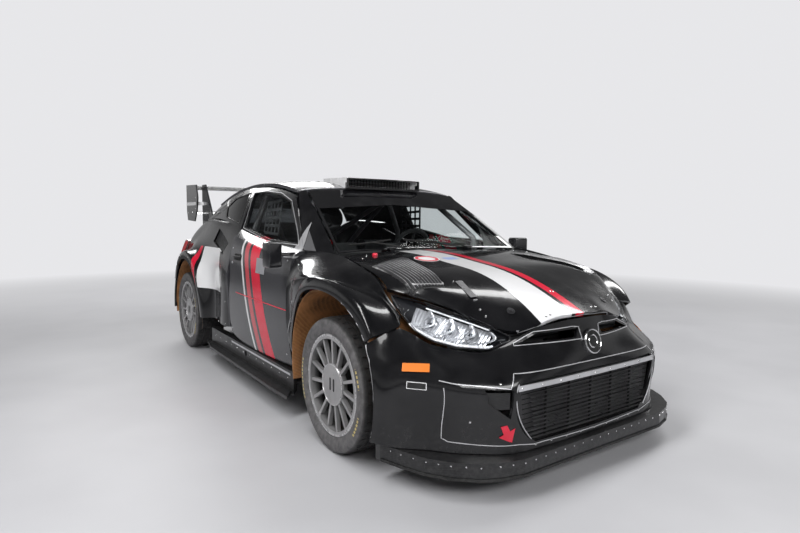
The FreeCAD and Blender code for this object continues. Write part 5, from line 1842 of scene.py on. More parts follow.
@dataclass
class Lid:
    """Louvres, fasteners, service plate and catches on the bonnet.

    Fields:
        vent: plan corners (offset, station) of the left vent: rear outer, rear inner, front
            inner, front outer.
        slats: louvres in each vent.
        rise: how far a louvre's raised edge stands up.
    """

    vent: tuple = ((664, 14), (404, 134), (536, -400), (672, -330))
    slats: int = 11
    rise: float = 0.011

    def louvres(self, side: str, sign: int, skin: Skin, slat: Material, rim: Material) -> None:
        """The raised louvres, the pale rods along their crests that are painted highlights, and the
        frame of one vent.
        """
        outer_rear, inner_rear, inner_front, outer_front = (Vector((x * sign, s))
                                                            for x, s in self.vent)
        blades, edges = [], []
        down = DOWN
        side_way = Vector((-sign, -0.25 * sign, 0)).normalized()
        for k in range(self.slats):
            share = (k + 0.5) / self.slats
            rear = outer_rear.lerp(inner_rear, share)
            front = outer_front.lerp(inner_front, share)
            rows: list = [[], [], []]
            crest = []
            for i in range(13):
                spot = rear.lerp(front, 0.03 + 0.94 * i / 12)
                place, normal = skin.cast(at(spot.x, spot.y, 900), down)
                fade = min(1.0, 5 * min(i, 12 - i) / 12 + 0.25)
                rows[0].append(place - side_way * 0.006 + normal * 0.001)
                rows[1].append(place + side_way * 0.001 + normal * (self.rise * 0.6 * fade))
                rows[2].append(place + side_way * 0.005 + normal * (self.rise * fade))
                crest.append(place + side_way * 0.0055 + normal * (self.rise * fade))
            blades.append(Bench.sheet("louvre", rows, wall=0.0022 * sign))
            # painted highlight: a pale rod along each louvre's crest stands for the light caught on
            # the edge
            edges.append(Bench.pipe("edge", crest, 0.0022, facets=2))
        Fitter.fit(Bench.join(f"{side}_louvres", blades), "bonnet", slat, "painted_body", angle=50)
        Fitter.fit(Bench.join(f"{side}_louvre_highlight_rods", edges), "bonnet", LOUVRE_HIGHLIGHT.build(),
                   "painted_body")
        corners = [outer_rear, inner_rear, inner_front, outer_front]
        ring: list[Vector] = []
        for i, corner in enumerate(corners):
            before, after = corners[i - 1], corners[(i + 1) % 4]
            for near, share in ((before, 26), (corner, 0), (after, 26)):
                spot = corner if not share else corner + (near - corner).normalized() * share
                ring.append(skin.near(at(spot.x, spot.y, 870))[0] + Vector((0, 0, 0.003)))
        Fitter.fit(Bench.pipe(f"{side}_vent_frame", ring, 0.0045, closed=True), "bonnet", rim,
                   "painted_body")

    def fasteners(self, skin: Skin, bright: Material, grey: Material, red: Material) -> None:
        """Quarter-turn fasteners, the hatch with four screws and the cut-out knob."""
        down = DOWN
        spots = [(-459, -542), (-452, -571), (-208, -693), (-185, -696), (93, -703), (128, -701),
                 (-33, -565), (-18, -571),
                 (459, -542), (452, -571), (620, 180), (-620, 180), (560, 240), (-560, 240)]
        places = [skin.cast(at(x, s, 900), down) for x, s in spots]
        Fitter.fit(Bench.copies("bonnet_fasteners", Bench.stud(0.0055, 0.002), places), "bonnet",
                   bright, "painted_body")
        plate = tag("bonnet_hatch", skin, at(-446, -434, 800), rounded(36, 128, 4),
                    up=Vector((0.05, 1, 0.3)), way=down)
        Fitter.fit(plate, "bonnet", grey, "painted_body")
        screws = [skin.cast(at(x, s, 900), down)
                  for x, s in ((-466, -369), (-426, -386), (-445, -501), (-456, -500))]
        screws = [(p + n * 0.0018, n) for p, n in screws]
        Fitter.fit(Bench.copies("hatch_screws", Bench.stud(0.0045, 0.002), screws), "bonnet",
                   bright, "painted_body")
        place, normal = skin.cast(at(-508, 236, 950), down)
        knob = Bench.rod("cutout_knob", place, place + normal * 0.014, 0.016, 24, 0.003, 0.012)
        Fitter.fit(Bench.join("cutout_knob", [knob]), "bonnet", red, "painted_body")
        for side, sign in SIDES:
            pins = [skin.cast(at(sign * 330, -600, 900), down),
                    skin.cast(at(sign * 600, 120, 950), down)]
            heads = [Bench.turned("pin",
                                  [(0.0, 0.0), (0.0, 0.017), (0.002, 0.019), (0.004, 0.017),
                                   (0.0045, 0.008), (0.008, 0.006),
                                          (0.008, 0.0)], p, n, 28, closed=False)
                     for p, n in pins[:1]]
            Fitter.fit(Bench.join(f"{side}_bonnet_catch", heads), "bonnet", grey, "painted_body")

    def stickers(self, skin: Skin, red: Material, white: Material, blue: Material) -> None:
        """Blank round and square stickers by the screen."""
        down = DOWN
        spot = at(-296, 52, 900)
        disc = tag("round_sticker", skin, spot, round_outline(70), up=REARWARD, way=down,
                   depth=0.0006)
        Fitter.fit(disc, "bonnet", white, "painted_body")
        place, normal = skin.cast(spot, down)
        ring = [(0.0012, 0.048), (0.0020, 0.048), (0.0020, 0.064), (0.0012, 0.064)]
        Fitter.fit(Bench.turned("round_sticker_band", ring, place, normal, 48), "bonnet", red,
                   "painted_body")
        patch = tag("blue_sticker", skin, at(-160, 20, 900), rounded(78, 56, 5), up=REARWARD,
                    way=down, depth=0.0006)
        Fitter.fit(patch, "bonnet", blue, "painted_body")

    def build(self) -> None:
        """Everything on the bonnet."""
        vents = Skin("bonnet_vents")
        skin = Skin("bonnet", "bonnet_vents")
        slat, rim = LOUVRE.build(), RIM_EDGE.build()
        for side, sign in SIDES:
            self.louvres(side, sign, vents, slat, rim)
        bright, red = BRIGHT.build(), RED_TAPE.build()
        white, blue = WHITE_TAPE.build(), BLUE_TAPE.build()
        self.fasteners(Skin("bonnet"), bright, LAMP_DARK.build(), red)
        self.stickers(skin, red, white, blue)
        line = [flip(p, 1)
                for p in ((-378, -690, 632), (-288, -704, 652), (-200, -722, 668), (0, -748, 682),
                          (200, -722, 668),
                                     (288, -704, 652), (378, -690, 632))]
        edge = Bench.ribbon("bonnet_edge_line", Skin("bonnet"), line, 0.0035,
                            way=Vector((0, 1, -0.35)))
        Fitter.fit(edge, "bonnet", SILVER_TAPE.build(), "painted_body")


@dataclass
class Glasshouse:
    """Wipers, window lines and the roof's fittings.

    Fields:
        side_light: outline (station, level) of the door window.
        quarter_light: outline of the fixed rear side window.
    """

    side_light: tuple = ((690, 960), (1150, 978), (1592, 1046), (1640, 1290), (1400, 1288),
                         (1160, 1262), (985, 1216))
    quarter_light: tuple = ((1712, 1078), (2070, 1122), (2180, 1200), (2060, 1262), (1745, 1296))

    @staticmethod
    def grown(outline: Sequence[Point2], by: float) -> list[Point2]:
        """An outline pushed outwards from its middle by some mm."""
        cx = sum(p[0] for p in outline) / len(outline)
        cz = sum(p[1] for p in outline) / len(outline)
        out = []
        for x, z in outline:
            reach = math.hypot(x - cx, z - cz)
            out.append((x + (x - cx) / reach * by, z + (z - cz) / reach * by))
        return out

    def wipers(self, rubber: Material) -> None:
        """Two wipers at rest along the foot of the screen."""
        skin = Skin("windscreen", "windscreen_frame")
        for name, pivot, elbow, tip in (("left", (380, 424), (120, 500), (-120, 528)),
                                        ("right", (-120, 462), (-380, 486), (-560, 436))):
            def over(point: Point2, lift: float) -> Vector:
                """A place over the screen."""
                place, normal = skin.cast(at(point[0], point[1], 960), DOWN)
                return place + normal * lift
            mid = ((pivot[0] + elbow[0]) / 2, (pivot[1] + elbow[1]) / 2 + 4)
            arm = Bench.pipe("arm", [over(pivot, 0.012), over(mid, 0.024), over(elbow, 0.016)],
                             0.005)
            base = over(pivot, 0.0)
            post = Bench.rod("post", base - Vector((0, 0, 0.004)),
                             base + Vector((0, -0.003, 0.016)), 0.010, 20, 0.002, 0.008)
            start = (elbow[0] + (elbow[0] - tip[0]) * 0.9, elbow[1] - (tip[1] - elbow[1]) * 0.9 - 6)
            blade = Bench.pipe("blade", [over(start, 0.007), over(elbow, 0.008), over(tip, 0.007)],
                               0.0042)
            spine = Bench.pipe("spine", [over(start, 0.012), over(elbow, 0.015), over(tip, 0.012)],
                               0.003)
            Fitter.fit(Bench.join(f"{name}_wiper", [arm, post, spine]), "body", rubber,
                       "painted_body")
            Fitter.fit(Bench.join(f"{name}_wiper_blade", [blade]), "body", rubber, "painted_body")

    def lines(self, silver: Material, rubber: Material) -> None:
        """Thin lines and seals round the side windows."""
        for side, sign in SIDES:
            way = Vector((-sign, 0, 0))
            door = Skin(f"{side}_door")
            for name, by, width, finish in (("line", 17, 0.004, silver),
                                            ("seal", 5, 0.008, rubber)):
                path = [at(sign * 720, s, z) for s, z in self.grown(self.side_light, by)]
                piece = Bench.ribbon(f"{side}_door_window_{name}", door, [*path, path[0]], width,
                                     way=way)
                Fitter.fit(piece, f"{side}_door", finish, "painted_body")
            panel = Skin("rear_wings", "roof")
            path = [at(sign * 700, s, z) for s, z in self.grown(self.quarter_light, 6)]
            piece = Bench.ribbon(f"{side}_quarter_window_seal", panel, [*path, path[0]], 0.008,
                                 way=way)
            Fitter.fit(piece, "body", rubber, "painted_body")

    def roof(self, silver: Material, dark: Material, mesh: Material) -> None:
        """The line over the screen, the scoop's mesh, lip and fasteners, and a short aerial."""
        skin = Skin("roof")
        path = [at(x, s, 1330) for x,
                s in ((-600, 962), (-500, 966), (-250, 972), (0, 974), (250, 972), (500, 966),
                      (600, 962))]
        band = Bench.ribbon("roof_front_line", skin, path, 0.020, way=DOWN, step=0.03)
        Fitter.fit(band, "body", silver, "roof")
        bars = []
        for x in range(-240, 241, 24):
            low, high = at(x - 1, 960, 1328), at(x + 1, 966, 1374)
            bars.append(Bench.block("bar", low, high, 0.0004))
        for z in (1334, 1343, 1352, 1361, 1370):
            bars.append(Bench.block("bar", at(-246, 958, z - 1), at(246, 962, z + 1), 0.0004))
        Fitter.fit(Bench.join("scoop_mesh", bars), "body", mesh, "mesh")
        rim = [at(x, s, z) for x, s,
               z in ((-290, 916, 1322), (-286, 916, 1378), (0, 914, 1380), (286, 916, 1378),
                     (290, 916, 1322))]
        Fitter.fit(Bench.pipe("scoop_lip", rim, 0.0035, smooth=False), "body", dark, "scoop")
        place, _ = skin.cast(at(0, 1900, 1500), DOWN)
        foot = Bench.rod("foot", place, place + Vector((0, 0.002, 0.012)), 0.016, 24, 0.003, 0.009)
        mast = Bench.rod("mast", place + Vector((0, 0, 0.010)), place + Vector((0, 0.006, 0.034)),
                         0.0032, 12, 0.0008, 0.0018)
        Fitter.fit(Bench.join("roof_aerial", [foot, mast]), "body", dark, "roof")
        places = [skin.cast(at(x, s, 1500), DOWN) for x in (-300, 300)
                  for s in (980, 1100, 1220, 1335)]
        Fitter.fit(Bench.copies("scoop_fasteners", Bench.stud(*SCREW), places), "body", dark,
                   "roof")

    def build(self) -> None:
        """All of it."""
        dark, rubber, silver = DARK_TRIM.build(), RUBBER_TRIM.build(), SILVER_TAPE.build()
        self.wipers(rubber)
        self.lines(silver, rubber)
        self.roof(silver, dark, MESH.build())


@dataclass
class Flanks:
    """Handles, lines, mirrors and sill trim on both sides.

    Fields:
        housing: plan outline of a mirror's housing.
        arm: plan outline of its arm.
        arch: (station, level) of the line over the front wheel arch.
    """

    housing: tuple = ((907, 548), (1000, 514), (1006, 546), (1002, 610), (914, 634))
    arm: tuple = ((782, 608), (925, 590), (925, 617), (782, 638))
    arch: tuple = ((-394, 202), (-416, 370), (-408, 451), (-384, 529), (-344, 605), (-294, 660),
                   (-235, 703), (-154, 736),
                   (-50, 755), (51, 767))

    def mirror(self, side: str, sign: int, shell: Material, glass: Material,
               trim: Material) -> None:
        """A mirror with its glass and arm."""
        body = f"{side}_door"
        case = Bench.prism("case", [at(sign * x, s, 842) for x, s in self.housing],
                           Vector((0, 0, 0.140)), 0.0)
        Bench.modify(case, "BEVEL", width=0.013, segments=5, limit_method="ANGLE",
                     angle_limit=math.radians(30))
        arm = Bench.prism("arm", [at(sign * x, s, 899) for x, s in self.arm], Vector((0, 0, 0.020)),
                          0.0)
        Bench.modify(arm, "BEVEL", width=0.006, segments=3, limit_method="ANGLE",
                     angle_limit=math.radians(30))
        Fitter.fit(Bench.join(f"{side}_mirror_housing", [case, arm]), body, shell, "carbon",
                   [f"{side}_mirror"])
        a, b = at(sign * 999, 612, 0), at(sign * 918, 633, 0)
        across = (b - a).normalized()
        out = Vector((across.y, -across.x, 0))
        out = out if out.y > 0 else -out
        centre = (a + b) / 2 + Vector((0, 0, 0.912)) - out * 0.0005
        corners = [centre + across * (u / 1000) + Vector((0, 0, v / 1000))
                   for u, v in rounded(66, 112, 12)]
        Fitter.fit(Bench.prism(f"{side}_mirror_glass", corners, out * 0.0025, 0.0006), body, glass,
                   "carbon")
        ring = [centre + across * (u / 1000) + Vector((0, 0, v / 1000)) + out * 0.0025
                for u, v in rounded(70, 116, 13)]
        Fitter.fit(Bench.pipe(f"{side}_mirror_rim", ring, 0.002, closed=True), body, trim, "carbon")

    def door_fittings(self, side: str, sign: int, red: Material, dark: Material,
                      silver: Material, rubber: Material) -> None:
        """Handle, recess, red line, blank pale field, lock and fasteners of one door."""
        body = f"{side}_door"
        skin = Skin(body)
        way = Vector((-sign, 0, 0))
        recess = tag(f"{side}_handle_recess", skin, at(sign * 860, 1449, 843), rounded(150, 46, 20),
                     way=way, depth=0.0012)
        Fitter.fit(recess, body, rubber, "painted_body")
        ends = [skin.cast(at(sign * 860, s, 843), way) for s in (1385, 1413, 1449, 1485, 1513)]
        lifts = (0.0, 0.014, 0.019, 0.014, 0.0)
        bar = [place + normal * lift for (place, normal), lift in zip(ends, lifts)]
        Fitter.fit(Bench.pipe(f"{side}_door_handle", bar, 0.0085, facets=4), body, dark,
                   "painted_body")
        line = [at(sign * 870, s, z) for s, z in ((1463, 601), (600, 591))]
        Fitter.fit(Bench.ribbon(f"{side}_door_line", skin, line, 0.006, way=way, step=0.05), body,
                   red, "painted_body")
        field_piece = tag(f"{side}_door_field", skin, at(sign * 860, 1020, 812),
                          rounded(150, 96, 4), way=way, depth=0.0008)
        Fitter.fit(field_piece, body, PALE_FIELD.build(), "painted_body")
        lock = skin.cast(at(sign * 860, 1560, 800), way)
        Fitter.fit(Bench.copies(f"{side}_door_lock", Bench.stud(0.009, 0.003, 16), [lock]), body,
                   silver, "painted_body")
        pins = [skin.cast(at(sign * 860, s, z), way)
                for s, z in ((640, 870), (640, 330), (1590, 330), (1590, 900))]
        Fitter.fit(Bench.copies(f"{side}_door_fasteners", Bench.stud(0.005, 0.0018), pins), body,
                   silver, "painted_body")

    def panels(self, side: str, sign: int, silver: Material, bright: Material,
               dark: Material) -> None:
        """Lines, fasteners and rivets on the wings, and sill trim."""
        way = Vector((-sign, 0, 0))
        skin = Skin("front_bumper", "front_wings")
        path = [at(sign * 905, s, z) for s, z in self.arch]
        Fitter.fit(Bench.ribbon(f"{side}_arch_line", skin, path, 0.004, way=way), "body", silver,
                   "painted_body")
        wing = Skin("front_wings")
        back = [at(sign * 880, s, z)
                for s, z in ((51, 767), (180, 776), (300, 768), (400, 740), (460, 690), (520, 600),
                      (560, 470))]
        Fitter.fit(Bench.ribbon(f"{side}_wing_line", wing, back, 0.004), "body", silver,
                   "painted_body")
        rear = Skin("rear_wings")
        spots = [(1700, 700), (1700, 500), (1700, 340), (1900, 330)]
        places = [rear.cast(at(sign * 900, s, z), way) for s, z in spots]
        Fitter.fit(Bench.copies(f"{side}_rear_fasteners", Bench.stud(0.005, 0.0018), places),
                   "body", bright, "painted_body")
        arch_row = []
        for k in range(12):
            turn = math.radians(30 + 11 * k)
            arch_row.append(rear.cast(at(sign * 920, 2630 - 478 * math.cos(turn),
                                         322.5 + 478 * math.sin(turn)), way))
        Fitter.fit(Bench.copies(f"{side}_rear_arch_rivets", Bench.stud(0.0038, 0.0014, 8),
                                arch_row), "body", bright, "painted_body")
        skirt = Skin("side_skirts")
        for name, line, width, finish in (("strip", ((560, 232), (1590, 232)), 0.012, silver),
                                          ("edge", ((520, 150), (2160, 150)), 0.010, dark)):
            run_of = [at(sign * 940, s, z) for s, z in line]
            piece = Bench.ribbon(f"{side}_skirt_{name}", skirt, run_of, width, way=way, step=0.08)
            Fitter.fit(piece, "body", finish, "carbon")
        bolts = [skirt.cast(at(sign * 940, s, 205), way) for s in range(600, 2100, 125)]
        Fitter.fit(Bench.copies(f"{side}_skirt_bolts", Bench.stud(0.005, 0.002), bolts), "body",
                   bright, "carbon")

    def build(self) -> None:
        """Both sides."""
        shell, glass, trim = GLOSS_CARBON.build(), MIRROR_GLASS.build(), RUBBER_TRIM.build()
        red, dark = RED_TAPE.build(), DARK_TRIM.build()
        silver, bright = SILVER_TAPE.build(), BRIGHT.build()
        for side, sign in SIDES:
            self.mirror(side, sign, shell, glass, trim)
            self.door_fittings(side, sign, red, dark, silver, trim)
            self.panels(side, sign, silver, bright, trim)


@dataclass
class Tail:
    """Lamps, plate, strap, bumper trim, exhaust tip and wing fittings at the back."""

    lamp: tuple = ((716, 3118, 900), (760, 3098, 898), (792, 3020, 890), (826, 3050, 790),
                   (838, 3086, 658), (788, 3148, 662),
                   (736, 3174, 664), (728, 3150, 800))

    def lamps(self, rubber: Material) -> None:
        """Light guides on the tail lamps and the seal round them."""
        skin = Skin("tail_lights")
        back = FORWARD
        glow = TAIL_GLOW.build()
        for side, sign in SIDES:
            guides = []
            for points in (((742, 878), (736, 790), (748, 690)),
                           ((778, 872), (784, 790), (792, 690))):
                path = [at(sign * x, 3140, z) for x, z in points]
                guides.append(Bench.ribbon("guide", skin, path, 0.010, way=back, wall=0.002))
            for z in (720, 770, 820, 862):
                path = [at(sign * x, 3140, z) for x in (742, 786)]
                guides.append(Bench.ribbon("guide", skin, path, 0.006, way=back, wall=0.002))
            Fitter.fit(Bench.join(f"{side}_tail_light_guides", guides), "body", glow, "red_lamp")
            ring = [flip(p, sign) for p in self.lamp]
            piece = Bench.ribbon(f"{side}_tail_light_seal", skin, [*ring, ring[0]], 0.006,
                                 step=0.03)
            Fitter.fit(piece, "body", rubber, "red_lamp")

    def bumper(self, silver: Material, dark: Material, bright: Material,
               mesh: Material, red: Material) -> None:
        """Mesh panels, lines, fasteners and the tow strap."""
        skin = Skin("rear_bumper")
        back = FORWARD
        for side, sign in SIDES:
            outline = ((-120, 44), (118, 52), (96, -66), (-112, -50))
            flipped = outline if sign > 0 else [(-u, v) for u, v in outline]
            panel = tag(f"{side}_bumper_mesh", skin, at(sign * 560, 3400, 470), flipped, way=back,
                        depth=0.003, bevel=0.001)
            Fitter.fit(panel, "body", mesh, "mesh")
            ring = [(u * 1.06, v * 1.1) for u, v in flipped]
            place, normal = skin.cast(at(sign * 560, 3400, 470), back)
            turn = tangent_frame(normal, UP)
            path = [place + normal * 0.002 + turn @ Vector((u / 1000, v / 1000, 0))
                    for u, v in ring]
            Fitter.fit(Bench.pipe(f"{side}_bumper_mesh_rim", path, 0.004, closed=True,
                                  smooth=False), "body", dark, "painted_body")
            line = [at(sign * x, 3400, z)
                    for x, z in ((0, 420), (300, 418), (430, 400), (470, 350), (480, 306))]
            piece = Bench.ribbon(f"{side}_bumper_line", skin, line, 0.004, way=back)
            Fitter.fit(piece, "body", silver, "painted_body")
        pins = [skin.cast(at(x, 3400, 610), back)
                for x in (-640, -480, -320, -160, 0, 160, 320, 480, 640)]
        Fitter.fit(Bench.copies("rear_bumper_fasteners", Bench.stud(0.006, 0.002), pins), "body",
                   bright, "painted_body")
        start = skin.cast(at(-420, 3400, 340), back)[0]
        strap = []
        for k in range(9):
            turn = math.pi * k / 8
            strap.append([start
                          + Vector((dx, 0.002 + 0.024 * math.sin(turn) - 0.0045 * 0,
                                    -0.052 * (1 - math.cos(turn)) * 0.5))
                          for dx in (-0.014, 0.0, 0.014)])
        Fitter.fit(Bench.sheet("tow_strap", strap, wall=0.003, levels=1), "body", red,
                   "painted_body")

    def tailgate(self, bright: Material, dark: Material, white: Material,
                 silver: Material, rubber: Material) -> None:
        """Blank number plate, lamp bar, catches and the window seal."""
        skin = Skin("tailgate")
        back = FORWARD
        plate = tag("number_plate", skin, at(0, 3300, 780), rounded(420, 100, 8), way=back,
                    depth=0.003, bevel=0.0008, lift=0.001)
        Fitter.fit(plate, "tailgate", white, "painted_body")
        frame_outline = rounded(432, 112, 12)
        place, normal = skin.cast(at(0, 3300, 780), back)
        turn = tangent_frame(normal, UP)
        ring = [place + normal * 0.003 + turn @ Vector((u / 1000, v / 1000, 0))
                for u, v in frame_outline]
        Fitter.fit(Bench.pipe("number_plate_frame", ring, 0.0035, closed=True, smooth=False),
                   "tailgate", dark, "painted_body")
        lamp = tag("plate_lamp", skin, at(0, 3300, 862), rounded(240, 26, 10), way=back,
                   depth=0.010, bevel=0.003)
        Fitter.fit(lamp, "tailgate", dark, "painted_body")
        outline = ((500, 2700), (600, 2830), (560, 2920), (-560, 2920), (-600, 2830), (-500, 2700))
        ring = [at(x * 1.03, s + (8 if s > 2800 else -8), 1100) for x, s in outline]
        piece = Bench.ribbon("rear_window_seal", skin, [*ring, ring[0]], 0.012, way=DOWN, step=0.04)
        Fitter.fit(piece, "tailgate", rubber, "painted_body")
        for side, sign in SIDES:
            place, normal = skin.cast(at(sign * 560, 3300, 760), back)
            profile = [(0.0, 0.0), (0.0, 0.017), (0.002, 0.019), (0.0045, 0.017), (0.005, 0.008),
                       (0.008, 0.006), (0.008, 0.0)]
            catch = Bench.turned(f"{side}_tailgate_catch", profile, place, normal, 28, closed=False)
            Fitter.fit(catch, "tailgate", bright, "painted_body")
            line = [at(sign * x, s, 1300) for x, s in ((640, 2760), (672, 2900), (680, 3040))]
            piece = Bench.ribbon(f"{side}_tailgate_line", skin, line, 0.004, way=DOWN)
            Fitter.fit(piece, "tailgate", silver, "painted_body")

    def wing(self, bright: Material, dark: Material, white: Material) -> None:
        """Trailing strip, end plate screws and lines, and vanes of the rear wing."""
        skin = Skin("rear_wing")
        _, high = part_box("rear_wing")
        strip = Bench.block("strip", Vector((-0.69, high.y - 0.006, high.z - 0.018)),
                            Vector((0.69, high.y - 0.002, high.z - 0.001)),
                            0.0008)
        Fitter.fit(Bench.join("wing_trailing_strip", [strip]), "tailgate", dark, "carbon")
        pins = []
        for sign in (1, -1):
            for s, z in ((3040, 1300), (3040, 1190), (3340, 1400), (3340, 1160), (3180, 1400),
                         (3180, 1165)):
                pins.append(skin.cast(at(sign * 900, s, z), Vector((-sign, 0, 0))))
        Fitter.fit(Bench.copies("wing_screws", Bench.stud(*SCREW), pins), "tailgate", bright,
                   "carbon")
        vanes = []
        for x in (-420, -210, 0, 210, 420):
            outline = [at(x - 1.5, s, z)
                       for s, z in ((3100, 1182), (3290, 1182), (3296, 1212), (3130, 1206))]
            vanes.append(Bench.prism("vane", outline, Vector((0.003, 0, 0)), 0.0006))
        Fitter.fit(Bench.join("wing_vanes", vanes), "tailgate", dark, "carbon")
        for side, sign in SIDES:
            stripe = [at(sign * 900, s, z) for s, z in ((3010, 1246), (3360, 1246))]
            piece = Bench.ribbon(f"{side}_end_plate_line", skin, stripe, 0.030,
                                 way=Vector((-sign, 0, 0)), step=0.05)
            Fitter.fit(piece, "tailgate", white, "carbon")

    def exhaust(self, metal: Material, dark: Material) -> None:
        """The rolled tip of the tail pipe, and a near-black disc across its bore for soot and
        painted shade.
        """
        _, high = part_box("exhaust")
        rows = [v.co for v in NODES["exhaust"].data.vertices if v.co.y > high.y - 0.004]
        centre = sum(rows, Vector()) / len(rows)
        reach = max((v - centre).length for v in rows)
        profile = [(-0.016, reach + 0.0004), (-0.004, reach + 0.0025), (0.001, reach + 0.0015),
                   (0.002, reach - 0.002),
                   (-0.002, reach - 0.0045), (-0.016, reach - 0.004)]
        Fitter.fit(Bench.turned("exhaust_tip", profile, centre, REARWARD, 40), "body", metal,
                   "steel")
        # painted shade: a near-black disc closes the pipe just inside its mouth, for soot and the
        # dark inside
        bore = Bench.turned("exhaust_bore",
                            [(-0.0008, 0.0), (-0.0008, reach - 0.004), (0.0006, reach - 0.0042),
                             (0.0006, 0.0)],
                            centre, REARWARD, 32, closed=False)
        Fitter.fit(bore, "body", dark, "steel")

    def build(self) -> None:
        """All of it."""
        silver, rubber = SILVER_TAPE.build(), RUBBER_TRIM.build()
        dark, bright = DARK_TRIM.build(), BRIGHT.build()
        white, red = WHITE_TAPE.build(), WEBBING.build()
        self.lamps(rubber)
        self.bumper(silver, dark, bright, MESH.build(), red)
        self.tailgate(bright, dark, white, silver, rubber)
        self.wing(bright, GLOSS_CARBON.build(), white)
        self.exhaust(HEATED.build(), SOOT_AND_SHADE.build())


@dataclass
class BucketSeats:
    """Two bucket seats with pads and harnesses.

    Fields:
        offset: distance of a seat from the middle.
        spine: (station, level, half width, side height) from the cushion's front up to the head.
    """

    offset: float = 340
    spine: tuple = (
        (1196, 262, 168, 40), (1210, 262, 172, 78), (1300, 258, 176, 96), (1400, 254, 178, 108),
        (1500, 252, 178, 120), (1560, 268, 178, 134), (1592, 320, 178, 132), (1606, 420, 180, 124),
        (1612, 540, 184, 128), (1618, 640, 186, 130), (1626, 720, 178, 104), (1634, 780, 150, 110),
        (1640, 840, 142, 138), (1646, 900, 138, 140), (1650, 936, 124, 96),
    )

    def cross(self, sign: int, index: float, share: float, lift: float = 0.0) -> Vector:
        """A place on the shell: index along the spine, share -1 to 1 across, lift in mm."""
        first = min(int(index), len(self.spine) - 2)
        part_way = index - first
        pair = zip(self.spine[first], self.spine[first + 1])
        s, z, half, wall = (a + (b - a) * part_way for a, b in pair)
        before, after = self.spine[max(first - 1, 0)], self.spine[min(first + 2,
                                                                      len(self.spine) - 1)]
        ahead = Vector((0, after[0] - before[0], after[1] - before[1])).normalized()
        out = Vector((0, -ahead.z, ahead.y))
        bend = abs(share)
        side = math.copysign(1, share)
        reach = half * min(1.0, bend / 0.62) if bend < 0.62 else half * (1.0 + 0.03 * (bend - 0.62))
        rise = 0.0 if bend < 0.42 else wall * min(1.0, ((bend - 0.42) / 0.58) ** 1.35)
        if bend < 0.62:
            reach = half * math.sin(bend / 0.62 * math.pi / 2) ** 0.92
        return at(self.offset * sign + side * reach, s, z) + out * ((rise + lift) / 1000)

    def shell(self, side: str, sign: int, gloss: Material) -> None:
        """The one-piece shell with its rolled edge."""
        shares = [-1.0, -0.86, -0.74, -0.62, -0.50, -0.34, -0.17, 0.0, 0.17, 0.34, 0.50, 0.62, 0.74,
                  0.86, 1.0]
        rows = [[self.cross(sign, i, share) for share in shares] for i in range(len(self.spine))]
        piece = Bench.sheet("shell", rows, wall=0.006, levels=1)
        edge = [row[0] for row in rows] + [self.cross(sign, len(rows) - 1, s) for s in shares[1:-1]]
        edge += [row[-1] for row in reversed(rows)] + [self.cross(sign, 0, s)
                                                       for s in reversed(shares[1:-1])]
        rim = Bench.pipe("rim", edge, 0.005, closed=True)
        Fitter.fit(Bench.join(f"{side}_seat_shell", [piece, rim]), "body", gloss, "seat",
                   ["seats"] if sign > 0 else [])

    def pad(self, name: str, sign: int, start: float, stop: float, half: float, thick: float,
            channels: int,
            cloth: Material) -> None:
        """A crowned pad with sewn channels across it.

        Args:
            name: the pad's name.
            sign: side of the car.
            start: where it starts along the spine.
            stop: where it ends.
            half: half its width as a share of the shell's.
            thick: thickness of its crown, in mm.
            channels: sewn channels across it.
            cloth: its material.
        """
        across, along = 16, 10 * channels
        top, under = [], []
        for i in range(along + 1):
            v = i / along
            groove = abs(math.sin(math.pi * v * channels)) ** 0.35
            row_top, row_under = [], []
            for j in range(across + 1):
                u = 2 * j / across - 1
                crown = max(0.0, 1 - abs(u) ** 3.2) ** 0.5 * max(0.0,
                                                                 1 - abs(2 * v - 1) ** 5.0) ** 0.5
                pull = 1 - 0.05 * (1 - (2 * v - 1) ** 2)
                index = start + (stop - start) * v
                row_top.append(self.cross(sign, index, u * half * pull,
                                          3 + thick * crown * (0.80 + 0.20 * groove)))
                row_under.append(self.cross(sign, index, u * half * pull, 3 - 1.5 * crown))
            top.append(row_top)
            under.append(row_under)
        face = Bench.sheet("face", top, levels=1)
        base = Bench.sheet("base", under, levels=1)
        piece = Bench.join(name, [face, base])
        bpy.ops.object.mode_set(mode="EDIT")
        bpy.ops.mesh.select_all(action="SELECT")
        bpy.ops.mesh.remove_doubles(threshold=0.0016)
        bpy.ops.mesh.normals_make_consistent(inside=False)
        bpy.ops.object.mode_set(mode="OBJECT")
        Fitter.fit(piece, "body", cloth, "seat", angle=60)

    def piping(self, side: str, sign: int, start: float, stop: float, half: float, trim: Material,
               name: str) -> None:
        """The sewn edge round a pad."""
        ring = [self.cross(sign, start + (stop - start) * k / 12,
                           half * (1 - 0.05 * (1 - (2 * k / 12 - 1) ** 2)), 5) for k in range(13)]
        ring += [self.cross(sign, stop, half * (1 - 2 * k / 8), 5) for k in range(1, 8)]
        ring += [self.cross(sign, stop - (stop - start) * k / 12,
                            -half * (1 - 0.05 * (1 - (2 * k / 12 - 1) ** 2)), 5) for k in range(13)]
        ring += [self.cross(sign, start, -half * (1 - 2 * k / 8), 5) for k in range(1, 8)]
        Fitter.fit(Bench.pipe(f"{side}_{name}", ring, 0.0032, closed=True), "body", trim, "seat")

